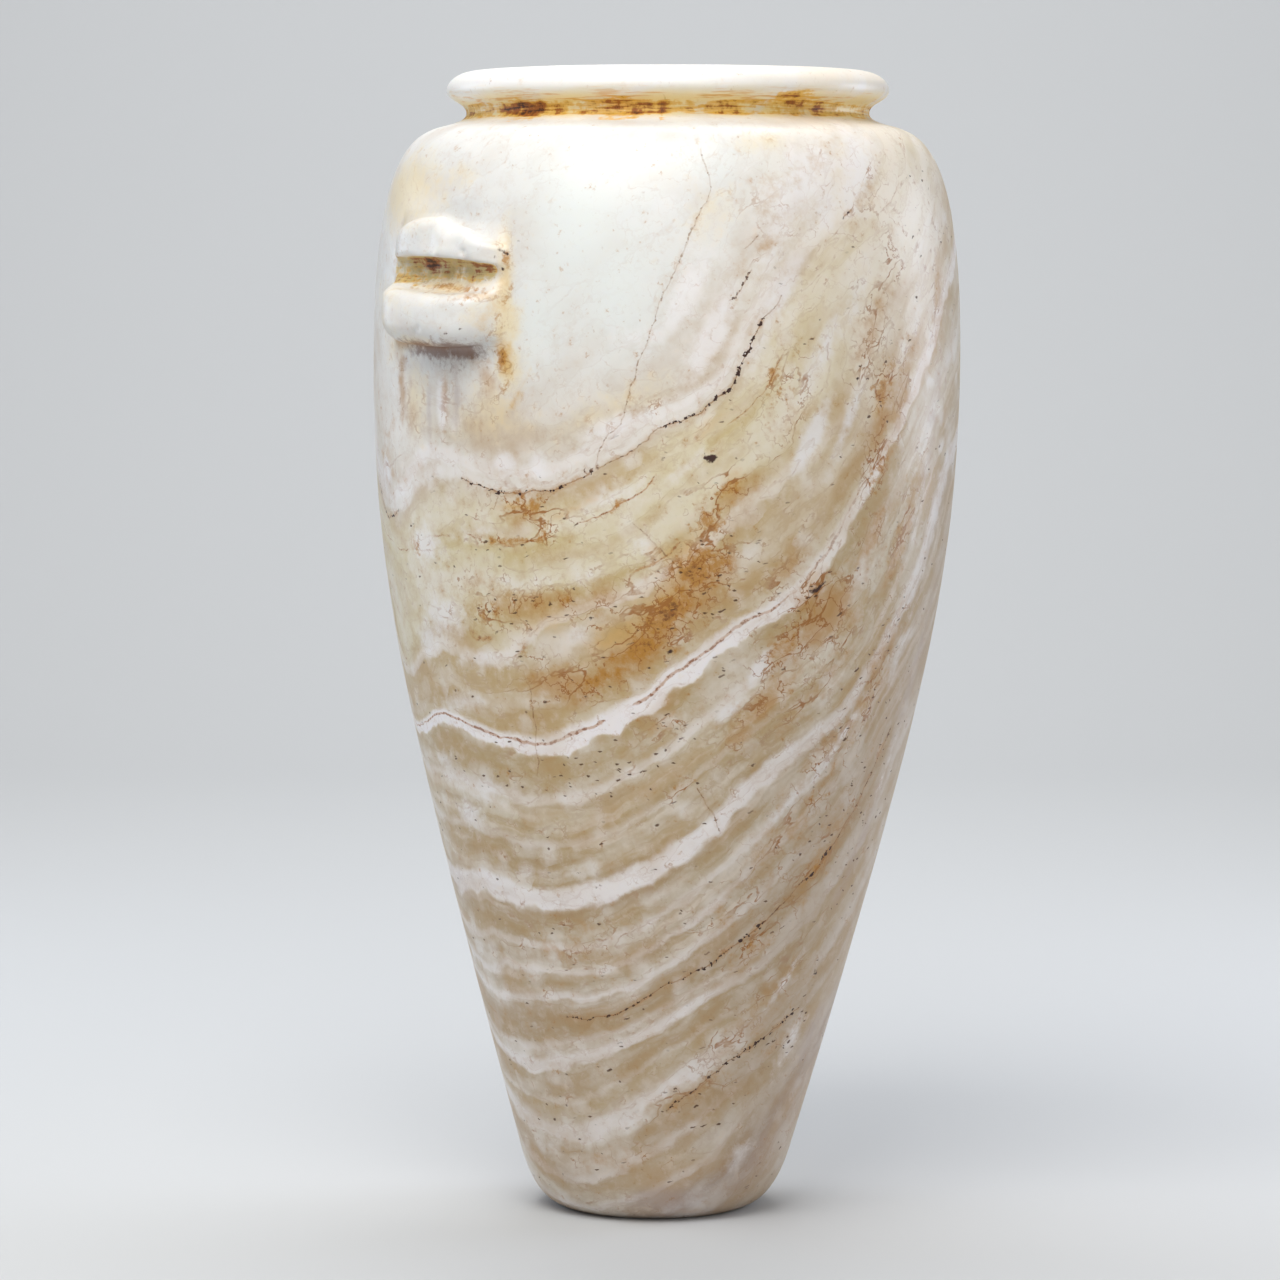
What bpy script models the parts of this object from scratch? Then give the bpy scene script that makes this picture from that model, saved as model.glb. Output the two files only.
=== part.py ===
"""A tall stone jar with a rolled rim and two pierced lugs, ground hollow from one block.

Metres, +Z up. The origin is the middle of the underside, and the lugs are at -X and +X. The outer
wall of each lug has broken away, so what was its bore is an open groove between two lobes.
The jar is one closed mesh: rings of points from the foot, up the outside, over the rim and down
the inside to the floor.
"""
from math import asin, atan, cos, hypot, pi, radians, sin, tan

import bmesh
import bpy

# Sizes of the jar outside
HEIGHT = 0.375
UNDERSIDE_RADIUS = 0.028
FOOT_RADIUS = 0.0451
FOOT_RISE = 0.020
BELLY_RADIUS = 0.0966
BELLY_BELOW_TOP = 0.094
SHOULDER_BELOW_TOP = 0.0176
RIM_RADIUS = 0.0727
RIM_ROLL_WIDTH = 0.010
RIM_ROLL_HEIGHT = 0.0065
NECK_DEPTH = 0.0065
NECK_BELOW_TOP = 0.0140
SHOULDER_STEP = 0.0058

# How far the rim's centre stands from the foot's centre, and towards where
LEAN = 0.0044
LEAN_HEADING = radians(-41.5)
LEAN_BOW = 2.0

# Slopes and fullness of the two long curves, as shares of their own rise and run
WALL_FLARE = 0.281
WALL_LOW_PULL = 0.5625
WALL_HIGH_PULL = 0.271
SHOULDER_SLOPE = 0.23
SHOULDER_RISE_PULL = 0.9175
SHOULDER_RUN_PULL = 0.463

# Sizes of the hollow
WALL = 0.011
FLOOR = 0.022
FLOOR_ROUND = 0.014
NECK_WALL = 0.0142
MOUTH_EDGE = 0.0025
THROAT_EDGE = 0.003

# Sizes of the lugs
LUG_BELOW_TOP = 0.0655
LUG_HALF_WIDTH = 0.028
GROOVE_RADIUS = 0.0046
GROOVE_CUT = 0.0014
LEDGE_HEIGHT = 0.0016
LOWER_LOBE_REACH = 0.0125
LOWER_LOBE_ROUND = 0.0088
UPPER_LOBE_REACH = 0.0060
UPPER_LOBE_HEIGHT = 0.0130
UPPER_LOBE_EDGE = 0.0030
UPPER_LOBE_ROUND = 0.0058
LUG_END_SHAPE = 3.5
LUG_TOP_ROUNDING = 0.38
LUG_FOOT_ROUNDING = 0.15
LUG_CORNER_SHAPE = 2.5
WORN_LUG_TILT = radians(-2.5)

# Each lug as (heading, tilt); a minus tilt lowers its anticlockwise end, seen from above
LUGS = [(pi, WORN_LUG_TILT), (0.0, 0.0)]

# How finely the curves are drawn
SMOOTH_STEPS = 240
FOOT_STEPS = 5
WALL_STEPS = 10
SHOULDER_STEPS = 7
NECK_STEPS = 4
RIM_STEPS = 5
EDGE_STEPS = 2
HOLLOW_STEPS = 8
LOBE_STEPS = 7
GROOVE_STEPS = 6
LUG_COLUMNS = 6
PLAIN_COLUMNS = 16

# Sizes that follow from the others
BELLY_HEIGHT = HEIGHT - BELLY_BELOW_TOP
SHOULDER_HEIGHT = HEIGHT - SHOULDER_BELOW_TOP
NECK_HEIGHT = HEIGHT - NECK_BELOW_TOP
RIM_HEIGHT = HEIGHT - RIM_ROLL_HEIGHT
NECK_RADIUS = RIM_RADIUS - NECK_DEPTH
SHOULDER_RADIUS = NECK_RADIUS + SHOULDER_STEP
MOUTH_RADIUS = NECK_RADIUS - NECK_WALL
GROOVE_HEIGHT = HEIGHT - LUG_BELOW_TOP

STONE = (0.80, 0.73, 0.60, 1.0)


def curve(start, start_pull, end_pull, end, steps):
    """Points (radius, height) along a cubic curve, the start left out."""
    points = []
    for step in range(1, steps + 1):
        t = step / steps
        weights = ((1 - t) ** 3, 3 * t * (1 - t) ** 2, 3 * t * t * (1 - t), t ** 3)
        knots = (start, start_pull, end_pull, end)
        points.append(tuple(sum(w * k[axis] for w, k in zip(weights, knots)) for axis in (0, 1)))
    return points


def rounded(start, corner, end, steps):
    """Points along a corner rounded from start to end, the start left out."""
    points = []
    for step in range(1, steps + 1):
        t = step / steps
        weights = ((1 - t) ** 2, 2 * t * (1 - t), t * t)
        knots = (start, corner, end)
        points.append(tuple(sum(w * k[axis] for w, k in zip(weights, knots)) for axis in (0, 1)))
    return points


def arc(centre, width, height, first, last, steps):
    """Points along an arc of an ellipse, both ends included."""
    turns = [first + (last - first) * step / steps for step in range(steps + 1)]
    return [(centre[0] + width * cos(turn), centre[1] + height * sin(turn)) for turn in turns]


def evenly(points, steps):
    """The same line drawn with evenly spaced points, the start left out."""
    reached = [0.0]
    for a, b in zip(points, points[1:]):
        reached.append(reached[-1] + hypot(b[0] - a[0], b[1] - a[1]))
    drawn, index = [], 0
    for step in range(1, steps + 1):
        target = reached[-1] * step / steps
        while index < len(points) - 2 and reached[index + 1] < target:
            index += 1
        share = (target - reached[index]) / (reached[index + 1] - reached[index])
        a, b = points[index], points[index + 1]
        drawn.append((a[0] + (b[0] - a[0]) * share, a[1] + (b[1] - a[1]) * share))
    return drawn


def side_of_jar():
    """The outside from the top of the foot's rounding to the neck groove, finely drawn."""
    foot = (FOOT_RADIUS, FOOT_RISE)
    belly = (BELLY_RADIUS, BELLY_HEIGHT)
    rise = BELLY_HEIGHT - FOOT_RISE
    low_pull = (FOOT_RADIUS + WALL_FLARE * WALL_LOW_PULL * rise, FOOT_RISE + WALL_LOW_PULL * rise)
    high_pull = (BELLY_RADIUS, BELLY_HEIGHT - WALL_HIGH_PULL * rise)
    wall = curve(foot, low_pull, high_pull, belly, SMOOTH_STEPS)
    return [foot] + wall + shoulder(0.0)


def shoulder(inset):
    """The shoulder from the belly to the neck, or the hollow's own shoulder a wall's width inside it."""
    slope = atan(SHOULDER_SLOPE)
    start = (BELLY_RADIUS - inset, BELLY_HEIGHT)
    end = (SHOULDER_RADIUS - inset * sin(slope), SHOULDER_HEIGHT - inset * cos(slope))
    start_pull = (start[0], start[1] + SHOULDER_RISE_PULL * (end[1] - start[1]))
    run = SHOULDER_RUN_PULL * (start[0] - end[0])
    end_pull = (end[0] + run * cos(slope), end[1] - run * sin(slope))
    return curve(start, start_pull, end_pull, end, SMOOTH_STEPS)


SIDE = side_of_jar()


def wall_radius(height):
    """Radius of the outside at a height between the foot and the neck."""
    for a, b in zip(SIDE, SIDE[1:]):
        if height <= b[1]:
            return a[0] + (b[0] - a[0]) * (height - a[1]) / (b[1] - a[1])
    return SIDE[-1][0]


def foot():
    """The flat underside's edge and the rounding up to the wall."""
    start = (UNDERSIDE_RADIUS, 0.0)
    corner = (FOOT_RADIUS - WALL_FLARE * FOOT_RISE, 0.0)
    return [start] + rounded(start, corner, (FOOT_RADIUS, FOOT_RISE), FOOT_STEPS)


def neck_and_rim():
    """The groove under the rim, the rim's rolled edge and the edge of its flat top."""
    start = (SHOULDER_RADIUS, SHOULDER_HEIGHT)
    groove = (NECK_RADIUS, NECK_HEIGHT)
    edge = (RIM_RADIUS, RIM_HEIGHT)
    rise = NECK_HEIGHT - SHOULDER_HEIGHT
    low_pull = (SHOULDER_RADIUS - SHOULDER_STEP / 2, SHOULDER_HEIGHT + rise / 4)
    high_pull = (NECK_RADIUS, NECK_HEIGHT - rise / 2)
    points = curve(start, low_pull, high_pull, groove, NECK_STEPS)
    middle = (NECK_HEIGHT + RIM_HEIGHT) / 2
    points += curve(groove, (NECK_RADIUS, middle), (RIM_RADIUS, middle), edge, NECK_STEPS)
    roll_centre = (RIM_RADIUS - RIM_ROLL_WIDTH, RIM_HEIGHT)
    return points + arc(roll_centre, RIM_ROLL_WIDTH, RIM_ROLL_HEIGHT, 0, pi / 2, RIM_STEPS)[1:]


def hollow():
    """The inside, from the inner edge of the rim's flat top down to the edge of the floor."""
    edge_centre = (MOUTH_RADIUS + MOUTH_EDGE, HEIGHT - MOUTH_EDGE)
    points = arc(edge_centre, MOUTH_EDGE, MOUTH_EDGE, pi / 2, pi, EDGE_STEPS)
    inner_shoulder = [(BELLY_RADIUS - WALL, BELLY_HEIGHT)] + shoulder(WALL)
    under_neck = inner_shoulder[-1]
    throat_height = under_neck[1] + SHOULDER_SLOPE * (under_neck[0] - MOUTH_RADIUS)
    throat = (MOUTH_RADIUS, throat_height)
    above = (MOUTH_RADIUS, throat_height + THROAT_EDGE)
    beside = (MOUTH_RADIUS + THROAT_EDGE, throat_height - SHOULDER_SLOPE * THROAT_EDGE)
    points += [above] + rounded(above, throat, beside, EDGE_STEPS)
    points += [under_neck] + evenly(inner_shoulder[::-1], SHOULDER_STEPS)
    floor_top = FLOOR + FLOOR_ROUND
    depth = BELLY_HEIGHT - floor_top
    for step in range(1, HOLLOW_STEPS + 1):
        height = BELLY_HEIGHT - depth * step / HOLLOW_STEPS
        points.append((wall_radius(height) - WALL, height))
    floor_radius = wall_radius(floor_top) - WALL - FLOOR_ROUND
    return points + arc((floor_radius, floor_top), FLOOR_ROUND, FLOOR_ROUND, 0, -pi / 2, FOOT_STEPS)[1:]


def lug_section():
    """The lug cut through its middle, bottom to top, as (reach beyond the wall, height)."""
    lower_round = min(LOWER_LOBE_ROUND, LOWER_LOBE_REACH)
    ledge_turn = radians(250)
    groove_centre = (GROOVE_RADIUS - GROOVE_CUT, GROOVE_HEIGHT)
    groove = arc(groove_centre, GROOVE_RADIUS, GROOVE_RADIUS, ledge_turn, pi / 2, GROOVE_STEPS)
    lobe_centre = (LOWER_LOBE_REACH - lower_round, groove[0][1] - LEDGE_HEIGHT - lower_round)
    lower = arc(lobe_centre, lower_round, lower_round, -pi / 2, pi / 2, LOBE_STEPS)
    edge = min(UPPER_LOBE_EDGE, UPPER_LOBE_REACH - groove_centre[0])
    top_round = min(UPPER_LOBE_ROUND, UPPER_LOBE_HEIGHT - edge)
    underside = groove[-1][1]
    upper = arc((UPPER_LOBE_REACH - edge, underside + edge), edge, edge, -pi / 2, 0, EDGE_STEPS)
    top = underside + UPPER_LOBE_HEIGHT
    upper += arc((UPPER_LOBE_REACH - top_round, top - top_round), top_round, top_round, 0, pi / 2, NECK_STEPS)
    return [(0.0, lower[0][1])] + lower + groove + upper + [(0.0, top)]


def columns():
    """Every column of points as (heading, distance along its lug, the lug's tilt)."""
    lug_angle = asin(LUG_HALF_WIDTH / BELLY_RADIUS)
    found = []
    for index, (heading, tilt) in enumerate(LUGS):
        for step in range(-LUG_COLUMNS, LUG_COLUMNS + 1):
            along = LUG_HALF_WIDTH * sin(pi / 2 * step / LUG_COLUMNS)
            found.append((heading + asin(along / BELLY_RADIUS), along, tilt))
        gap = 2 * pi / len(LUGS) - 2 * lug_angle
        for step in range(1, PLAIN_COLUMNS):
            found.append((heading + lug_angle + gap * step / PLAIN_COLUMNS, LUG_HALF_WIDTH, 0.0))
    return found


def lug_ring(reach, height, share, column, lowest, highest):
    """One point of the lug's band: on the lug where the column crosses it, else on the wall."""
    heading, along, tilt = column
    ratio = min(1.0, abs(along) / LUG_HALF_WIDTH)
    fullness = 1 - ratio ** LUG_END_SHAPE
    plain_height = lowest + (highest - lowest) * share
    middle = (lowest + highest) / 2
    blended = plain_height + (height - plain_height) * fullness
    rounding = LUG_TOP_ROUNDING if blended > middle else LUG_FOOT_ROUNDING
    level = middle + (blended - middle) * (1 - rounding * ratio ** LUG_CORNER_SHAPE)
    radius = wall_radius(level)
    bulge = radius * (1 - cos(asin(along / BELLY_RADIUS)))
    out = (bulge + reach) * fullness
    facing = heading - asin(along / BELLY_RADIUS)
    x = radius * cos(heading) + out * cos(facing)
    y = radius * sin(heading) + out * sin(facing)
    return x, y, level + tan(tilt) * along


def lug_rings(all_columns):
    """The band of rings that both lugs grow from."""
    section = lug_section()
    reached = [0.0]
    for a, b in zip(section, section[1:]):
        reached.append(reached[-1] + hypot(b[0] - a[0], b[1] - a[1]))
    lowest, highest = section[0][1], section[-1][1]
    rings = []
    for (reach, height), distance in zip(section, reached):
        share = distance / reached[-1]
        rings.append([lug_ring(reach, height, share, column, lowest, highest) for column in all_columns])
    return rings


def plain_rings(points, all_columns):
    """Round rings, one for each (radius, height)."""
    return [[(r * cos(c[0]), r * sin(c[0]), z) for c in all_columns] for r, z in points]


def leaned(point):
    """The point moved sideways with the jar's slight lean; its height stays."""
    x, y, z = point
    offset = LEAN * (1 - max(0.0, 1 - z / HEIGHT) ** LEAN_BOW)
    return x + offset * cos(LEAN_HEADING), y + offset * sin(LEAN_HEADING), z


def jar_rings():
    """All the rings, from the underside to the floor of the hollow."""
    all_columns = columns()
    band = lug_rings(all_columns)
    half_tilt = LUG_HALF_WIDTH * tan(abs(WORN_LUG_TILT))
    section = lug_section()
    below = section[0][1] - half_tilt
    above = section[-1][1] + half_tilt
    low = [point for point in SIDE if point[1] < below]
    high = [point for point in SIDE if point[1] > above]
    rings = plain_rings(foot(), all_columns)
    rings += plain_rings(evenly(low, WALL_STEPS), all_columns)
    rings += band
    rings += plain_rings([high[0]] + evenly(high, SHOULDER_STEPS), all_columns)
    rings += plain_rings(neck_and_rim(), all_columns)
    rings += plain_rings(hollow(), all_columns)
    return [[leaned(point) for point in ring] for ring in rings]


def stone_material():
    """Cream banded stone with a dull polish."""
    material = bpy.data.materials.new("banded_stone")
    material.use_nodes = True
    shader = material.node_tree.nodes["Principled BSDF"]
    shader.inputs["Base Color"].default_value = STONE
    shader.inputs["Roughness"].default_value = 0.35
    shader.inputs["Metallic"].default_value = 0.0
    return material


def stone_jar():
    """The whole jar: foot, wall, lugs, rim and hollow in one closed mesh."""
    shape = bmesh.new()
    rings = [[shape.verts.new(point) for point in ring] for ring in jar_rings()]
    for lower, upper in zip(rings, rings[1:]):
        for index in range(len(lower)):
            after = (index + 1) % len(lower)
            shape.faces.new((lower[index], lower[after], upper[after], upper[index]))
    shape.faces.new(rings[0][::-1])
    shape.faces.new(rings[-1])
    mesh = bpy.data.meshes.new("stone_jar")
    shape.to_mesh(mesh)
    shape.free()
    mesh.shade_smooth()
    mesh.set_sharp_from_angle(angle=radians(40))
    mesh.materials.append(stone_material())
    jar = bpy.data.objects.new("stone_jar", mesh)
    bpy.context.scene.collection.objects.link(jar)
    return jar


for old in list(bpy.data.objects):
    bpy.data.objects.remove(old, do_unlink=True)
stone_jar()
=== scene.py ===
# %% [markdown]
# # A tall jar of banded stone with two pierced lugs
#
# The real thing is one block of calcite travertine, the stone that is often called alabaster. It was
# turned and ground to a slim shouldered jar, its rim was rolled over a groove, and two lugs were left
# standing on the shoulder. Each lug was drilled for a cord, and its outer wall has since broken away.
# This lesson draws the form from a few measured sizes, bends the layers of the stone the way they run
# on the real jar, and lays the stains of its long burial over them.

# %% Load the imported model
from math import atan, cos, pi, radians, sin, tan
import bpy
import numpy as np
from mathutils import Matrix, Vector, noise


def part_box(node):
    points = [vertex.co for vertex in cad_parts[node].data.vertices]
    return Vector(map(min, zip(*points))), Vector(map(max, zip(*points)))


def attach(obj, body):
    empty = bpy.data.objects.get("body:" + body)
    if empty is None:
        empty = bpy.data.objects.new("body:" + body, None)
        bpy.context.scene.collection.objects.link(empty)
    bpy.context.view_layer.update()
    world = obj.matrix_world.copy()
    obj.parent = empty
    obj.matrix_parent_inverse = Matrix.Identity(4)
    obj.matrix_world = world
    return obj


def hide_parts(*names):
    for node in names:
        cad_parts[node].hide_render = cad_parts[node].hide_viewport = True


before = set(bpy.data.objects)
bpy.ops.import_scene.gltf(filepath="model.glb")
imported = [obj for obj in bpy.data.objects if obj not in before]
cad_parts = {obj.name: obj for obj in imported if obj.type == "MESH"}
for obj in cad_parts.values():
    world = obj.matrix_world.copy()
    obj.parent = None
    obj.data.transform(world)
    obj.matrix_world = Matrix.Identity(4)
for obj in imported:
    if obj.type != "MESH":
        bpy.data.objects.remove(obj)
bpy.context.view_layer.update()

low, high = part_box("stone_jar")
MM = 0.001
HEIGHT = high.z / MM

# %% [markdown]
# ## One helper for every node tree
#
# Both the geometry and the stone are drawn with nodes. One small function adds a node of any kind, sets
# its properties, fills its inputs with values or with links from other nodes, and gives back the
# output that the next node needs. The kinds that come back often get a short name.

# %% A helper that adds a node
MATH = "ShaderNodeMath"
VECTOR = "ShaderNodeVectorMath"
AXES = "ShaderNodeSeparateXYZ"
RANGE = "ShaderNodeMapRange"
NOISE = "ShaderNodeTexNoise"
CELLS = "ShaderNodeTexVoronoi"
SMOOTH = {"interpolation_type": "SMOOTHSTEP"}


def add(tree, kind, inputs=(), out=0, **settings):
    """Adds a node with its settings and links, and gives the wanted output, or all where out is None."""
    made = tree.nodes.new(kind)
    for name, value in settings.items():
        setattr(made, name, value)
    for key, value in inputs.items() if isinstance(inputs, dict) else enumerate(inputs):
        if isinstance(value, bpy.types.NodeSocket):
            tree.links.new(value, made.inputs[key])
        else:
            made.inputs[key].default_value = value
    return made.outputs if out is None else made.outputs[out]


def linear(code):
    """An sRGB hex code as a linear colour, which is what shaders work in."""
    shares = [int(code[i:i + 2], 16) / 255 for i in (0, 2, 4)]
    return [s / 12.92 if s <= 0.04045 else ((s + 0.055) / 1.055) ** 2.4 for s in shares] + [1.0]


print("white stone in linear colour", [round(v, 3) for v in linear("f3eee4")])

# %% [markdown]
# ## The camera
#
# The jar was seen from a little above the middle of its height with a long lens, so its sides hardly
# converge. The frame is square. The left lug shows three quarters to the left, which sets the heading
# the camera looks along; everything that is placed on the wall below is measured from that heading.

# %% Camera at the photograph's angle
VIEW_TURN = radians(-41.5)
LENS_SHARE = 5000 / 1280
SENSOR = 36.0
CAMERA_AWAY = 1648.87
CAMERA_SIDE = -4.7
CAMERA_HEIGHT = 313.26
PITCH = atan(380 / 5000)
away = Vector((-sin(VIEW_TURN), cos(VIEW_TURN), 0))
right = Vector((cos(VIEW_TURN), sin(VIEW_TURN), 0))
camera_data = bpy.data.cameras.new("camera")
camera_data.sensor_width = SENSOR
camera_data.lens = SENSOR * LENS_SHARE
camera_data.clip_end = 20
camera = bpy.data.objects.new("camera", camera_data)
bpy.context.scene.collection.objects.link(camera)
camera.location = (right * CAMERA_SIDE - away * CAMERA_AWAY) * MM + Vector((0, 0, CAMERA_HEIGHT * MM))
forward = away * cos(PITCH) - Vector((0, 0, sin(PITCH)))
camera.rotation_euler = forward.to_track_quat("-Z", "Y").to_euler()
bpy.context.scene.camera = camera
print("lens", round(camera_data.lens, 1), "mm, camera", [round(v, 3) for v in camera.location])

# %% [markdown]
# ## The turned outline
#
# A jar like this follows one rule, an outline turned round an upright axis, so it is drawn as curves
# from named sizes in millimetres. The foot rounds into a long flaring wall, the shoulder turns in, a
# groove runs under the rolled rim, and the hollow follows the outside a wall's width further in.

# %% Sizes of the jar, in millimetres
BELLY_RADIUS = 96.6
BELLY_HEIGHT = HEIGHT - 94.0
UNDERSIDE_RADIUS = 28.0
FOOT_RADIUS = 45.1
FOOT_RISE = 20.0
RIM_RADIUS = 72.7
RIM_ROLL = (10.0, 6.5)
NECK_RADIUS = RIM_RADIUS - 6.5
NECK_HEIGHT = HEIGHT - 14.0
SHOULDER_RADIUS = NECK_RADIUS + 5.8
SHOULDER_HEIGHT = HEIGHT - 17.6
SHOULDER_SLOPE = 0.23
WALL_FLARE = 0.281
WALL = 11.0
FLOOR = 22.0
FLOOR_ROUND = 14.0
MOUTH_RADIUS = NECK_RADIUS - 14.2
MOUTH_EDGE = 2.5
THROAT_EDGE = 3.0
LEAN = 4.4
LEAN_BOW = 2.0
# how far each curve is pulled before it bends: shares of its rise or run, and the last in millimetres
WALL_PULL_AT_FOOT = 0.5625
WALL_PULL_AT_BELLY = 0.271
SHOULDER_PULL_UP = 0.9175
SHOULDER_PULL_IN = 0.463
GROOVE_PULL_IN = 2.9


# %% Curves that draw the outline
def bezier(knots, steps=200):
    """Points along a curve pulled by its inner knots, both ends included."""
    t = np.linspace(0, 1, steps + 1)[:, None]
    lines = [np.array(knot, float)[None, :] for knot in knots]
    while len(lines) > 1:
        lines = [a + (b - a) * t for a, b in zip(lines, lines[1:])]
    return lines[0]


def arc(centre, width, height, first, last, squareness=2.0, steps=60):
    """Points along an arc of an ellipse, or of a squarer oval where squareness is over 2."""
    turn = np.linspace(first, last, steps + 1)
    across = np.sign(np.cos(turn)) * np.abs(np.cos(turn)) ** (2 / squareness)
    upwards = np.sign(np.sin(turn)) * np.abs(np.sin(turn)) ** (2 / squareness)
    return np.stack([centre[0] + width * across, centre[1] + height * upwards], 1)


def evenly(points, count):
    """The same line drawn with evenly spaced points, both ends included."""
    points = np.array(points)
    reached = np.concatenate([[0], np.cumsum(np.linalg.norm(np.diff(points, axis=0), axis=1))])
    targets = np.linspace(0, reached[-1], count)
    return np.stack([np.interp(targets, reached, points[:, axis]) for axis in range(points.shape[1])], 1)


def shoulder(inset):
    """The shoulder from belly to neck, or the hollow's own shoulder that far inside it."""
    slope = atan(SHOULDER_SLOPE)
    start = (BELLY_RADIUS - inset, BELLY_HEIGHT)
    end = (SHOULDER_RADIUS - inset * sin(slope), SHOULDER_HEIGHT - inset * cos(slope))
    run = SHOULDER_PULL_IN * (start[0] - end[0])
    pulls = [(start[0], start[1] + SHOULDER_PULL_UP * (end[1] - start[1]))]
    pulls.append((end[0] + run * cos(slope), end[1] - run * sin(slope)))
    return bezier([start] + pulls + [end])


def wall():
    """The long wall from the foot's rounding up to the belly."""
    rise = BELLY_HEIGHT - FOOT_RISE
    low_pull = (FOOT_RADIUS + WALL_FLARE * WALL_PULL_AT_FOOT * rise, FOOT_RISE + WALL_PULL_AT_FOOT * rise)
    high_pull = (BELLY_RADIUS, BELLY_HEIGHT - WALL_PULL_AT_BELLY * rise)
    return bezier([(FOOT_RADIUS, FOOT_RISE), low_pull, high_pull, (BELLY_RADIUS, BELLY_HEIGHT)])


SIDE = np.concatenate([wall(), shoulder(0)[1:]])


def wall_radius(height):
    """Radius of the outside at a height between the foot and the neck."""
    return np.interp(height, SIDE[:, 1], SIDE[:, 0])


def lean(height):
    """How far the axis stands off to the photograph's right at a height."""
    return LEAN * (1 - np.maximum(0, 1 - height / HEIGHT) ** LEAN_BOW)


print("radii: belly", BELLY_RADIUS, "neck", round(NECK_RADIUS, 1), "mouth", round(MOUTH_RADIUS, 1), "mm")

# %% [markdown]
# ## The lug cut through its middle
#
# Each lug is two lobes with the open half of the old bore between them: a full round lobe below, a
# low worn one above, and a thin ledge where the drill cut into the lower one. Its section is a line of
# its own, given as reach beyond the wall and height, and the sweep below grows it out of the wall.

# %% Section of a lug
LUG_HEIGHT = HEIGHT - 65.5
LUG_HALF_WIDTH = 28.0
BORE_RADIUS = 4.6
BORE_CUT = 1.4
LEDGE = 1.6
LOWER_REACH, LOWER_ROUND = 12.5, 8.8
UPPER_REACH, UPPER_HEIGHT, UPPER_EDGE, UPPER_ROUND = 6.0, 13.0, 1.6, 5.8
UPPER_SET_BACK = 0.4
LOWER_SQUARE, LIP_SQUARE, CROWN_SQUARE = 2.3, 3.0, 2.4
BORE_START = radians(250)
SECTION_POINTS = 84
WORN_TILT = radians(-2.5)


def lug_section():
    """The lug's section from its underside to its top, as (reach, height)."""
    bore_centre = (BORE_RADIUS - BORE_CUT, LUG_HEIGHT)
    bore = arc(bore_centre, BORE_RADIUS, BORE_RADIUS, BORE_START, pi / 2)
    lobe_centre = (LOWER_REACH - LOWER_ROUND, bore[0][1] - LEDGE - LOWER_ROUND)
    lower = arc(lobe_centre, LOWER_ROUND, LOWER_ROUND, -pi / 2, 0, LOWER_SQUARE)
    upper_lip = arc(lobe_centre, LOWER_ROUND, LOWER_ROUND, 0, pi / 2, LIP_SQUARE)
    edge_height = bore[-1][1] + UPPER_EDGE
    edge_centre = (UPPER_REACH - UPPER_SET_BACK - UPPER_EDGE, edge_height)
    edge = arc(edge_centre, UPPER_EDGE, UPPER_EDGE, -pi / 2, 0)
    top = bore[-1][1] + UPPER_HEIGHT
    round_centre = (UPPER_REACH - UPPER_ROUND, top - UPPER_ROUND)
    crown = arc(round_centre, UPPER_ROUND, UPPER_ROUND, 0, pi / 2, CROWN_SQUARE)
    ends = [[(0, lower[0][1])], [(0, top)]]
    return np.concatenate([ends[0], lower, upper_lip[1:], bore, edge, crown, ends[1]])


section = evenly(lug_section(), SECTION_POINTS)
LUG_BOTTOM, LUG_TOP = section[0][1], section[-1][1]
print("lug from", round(LUG_BOTTOM, 1), "to", round(LUG_TOP, 1), "mm, bore", 2 * BORE_RADIUS, "mm")

# %% [markdown]
# ## Rows of the sweep
#
# Each row of the swept grid is one point of the outline. A row in the lugs' band also carries the
# point of the lug's section that it turns into, so the rows crowd where the carving is and thin out
# along the plain wall.

# %% Rows, from the middle of the underside round to the middle of the floor
ROWS_OF = {
    "foot": 14, "wall": 102, "shoulder": 22, "groove foot": 8, "groove top": 10, "rim": 11, "mouth": 5,
    "throat": 4, "inner shoulder": 12, "inner wall": 14, "floor corner": 7,
}


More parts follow.
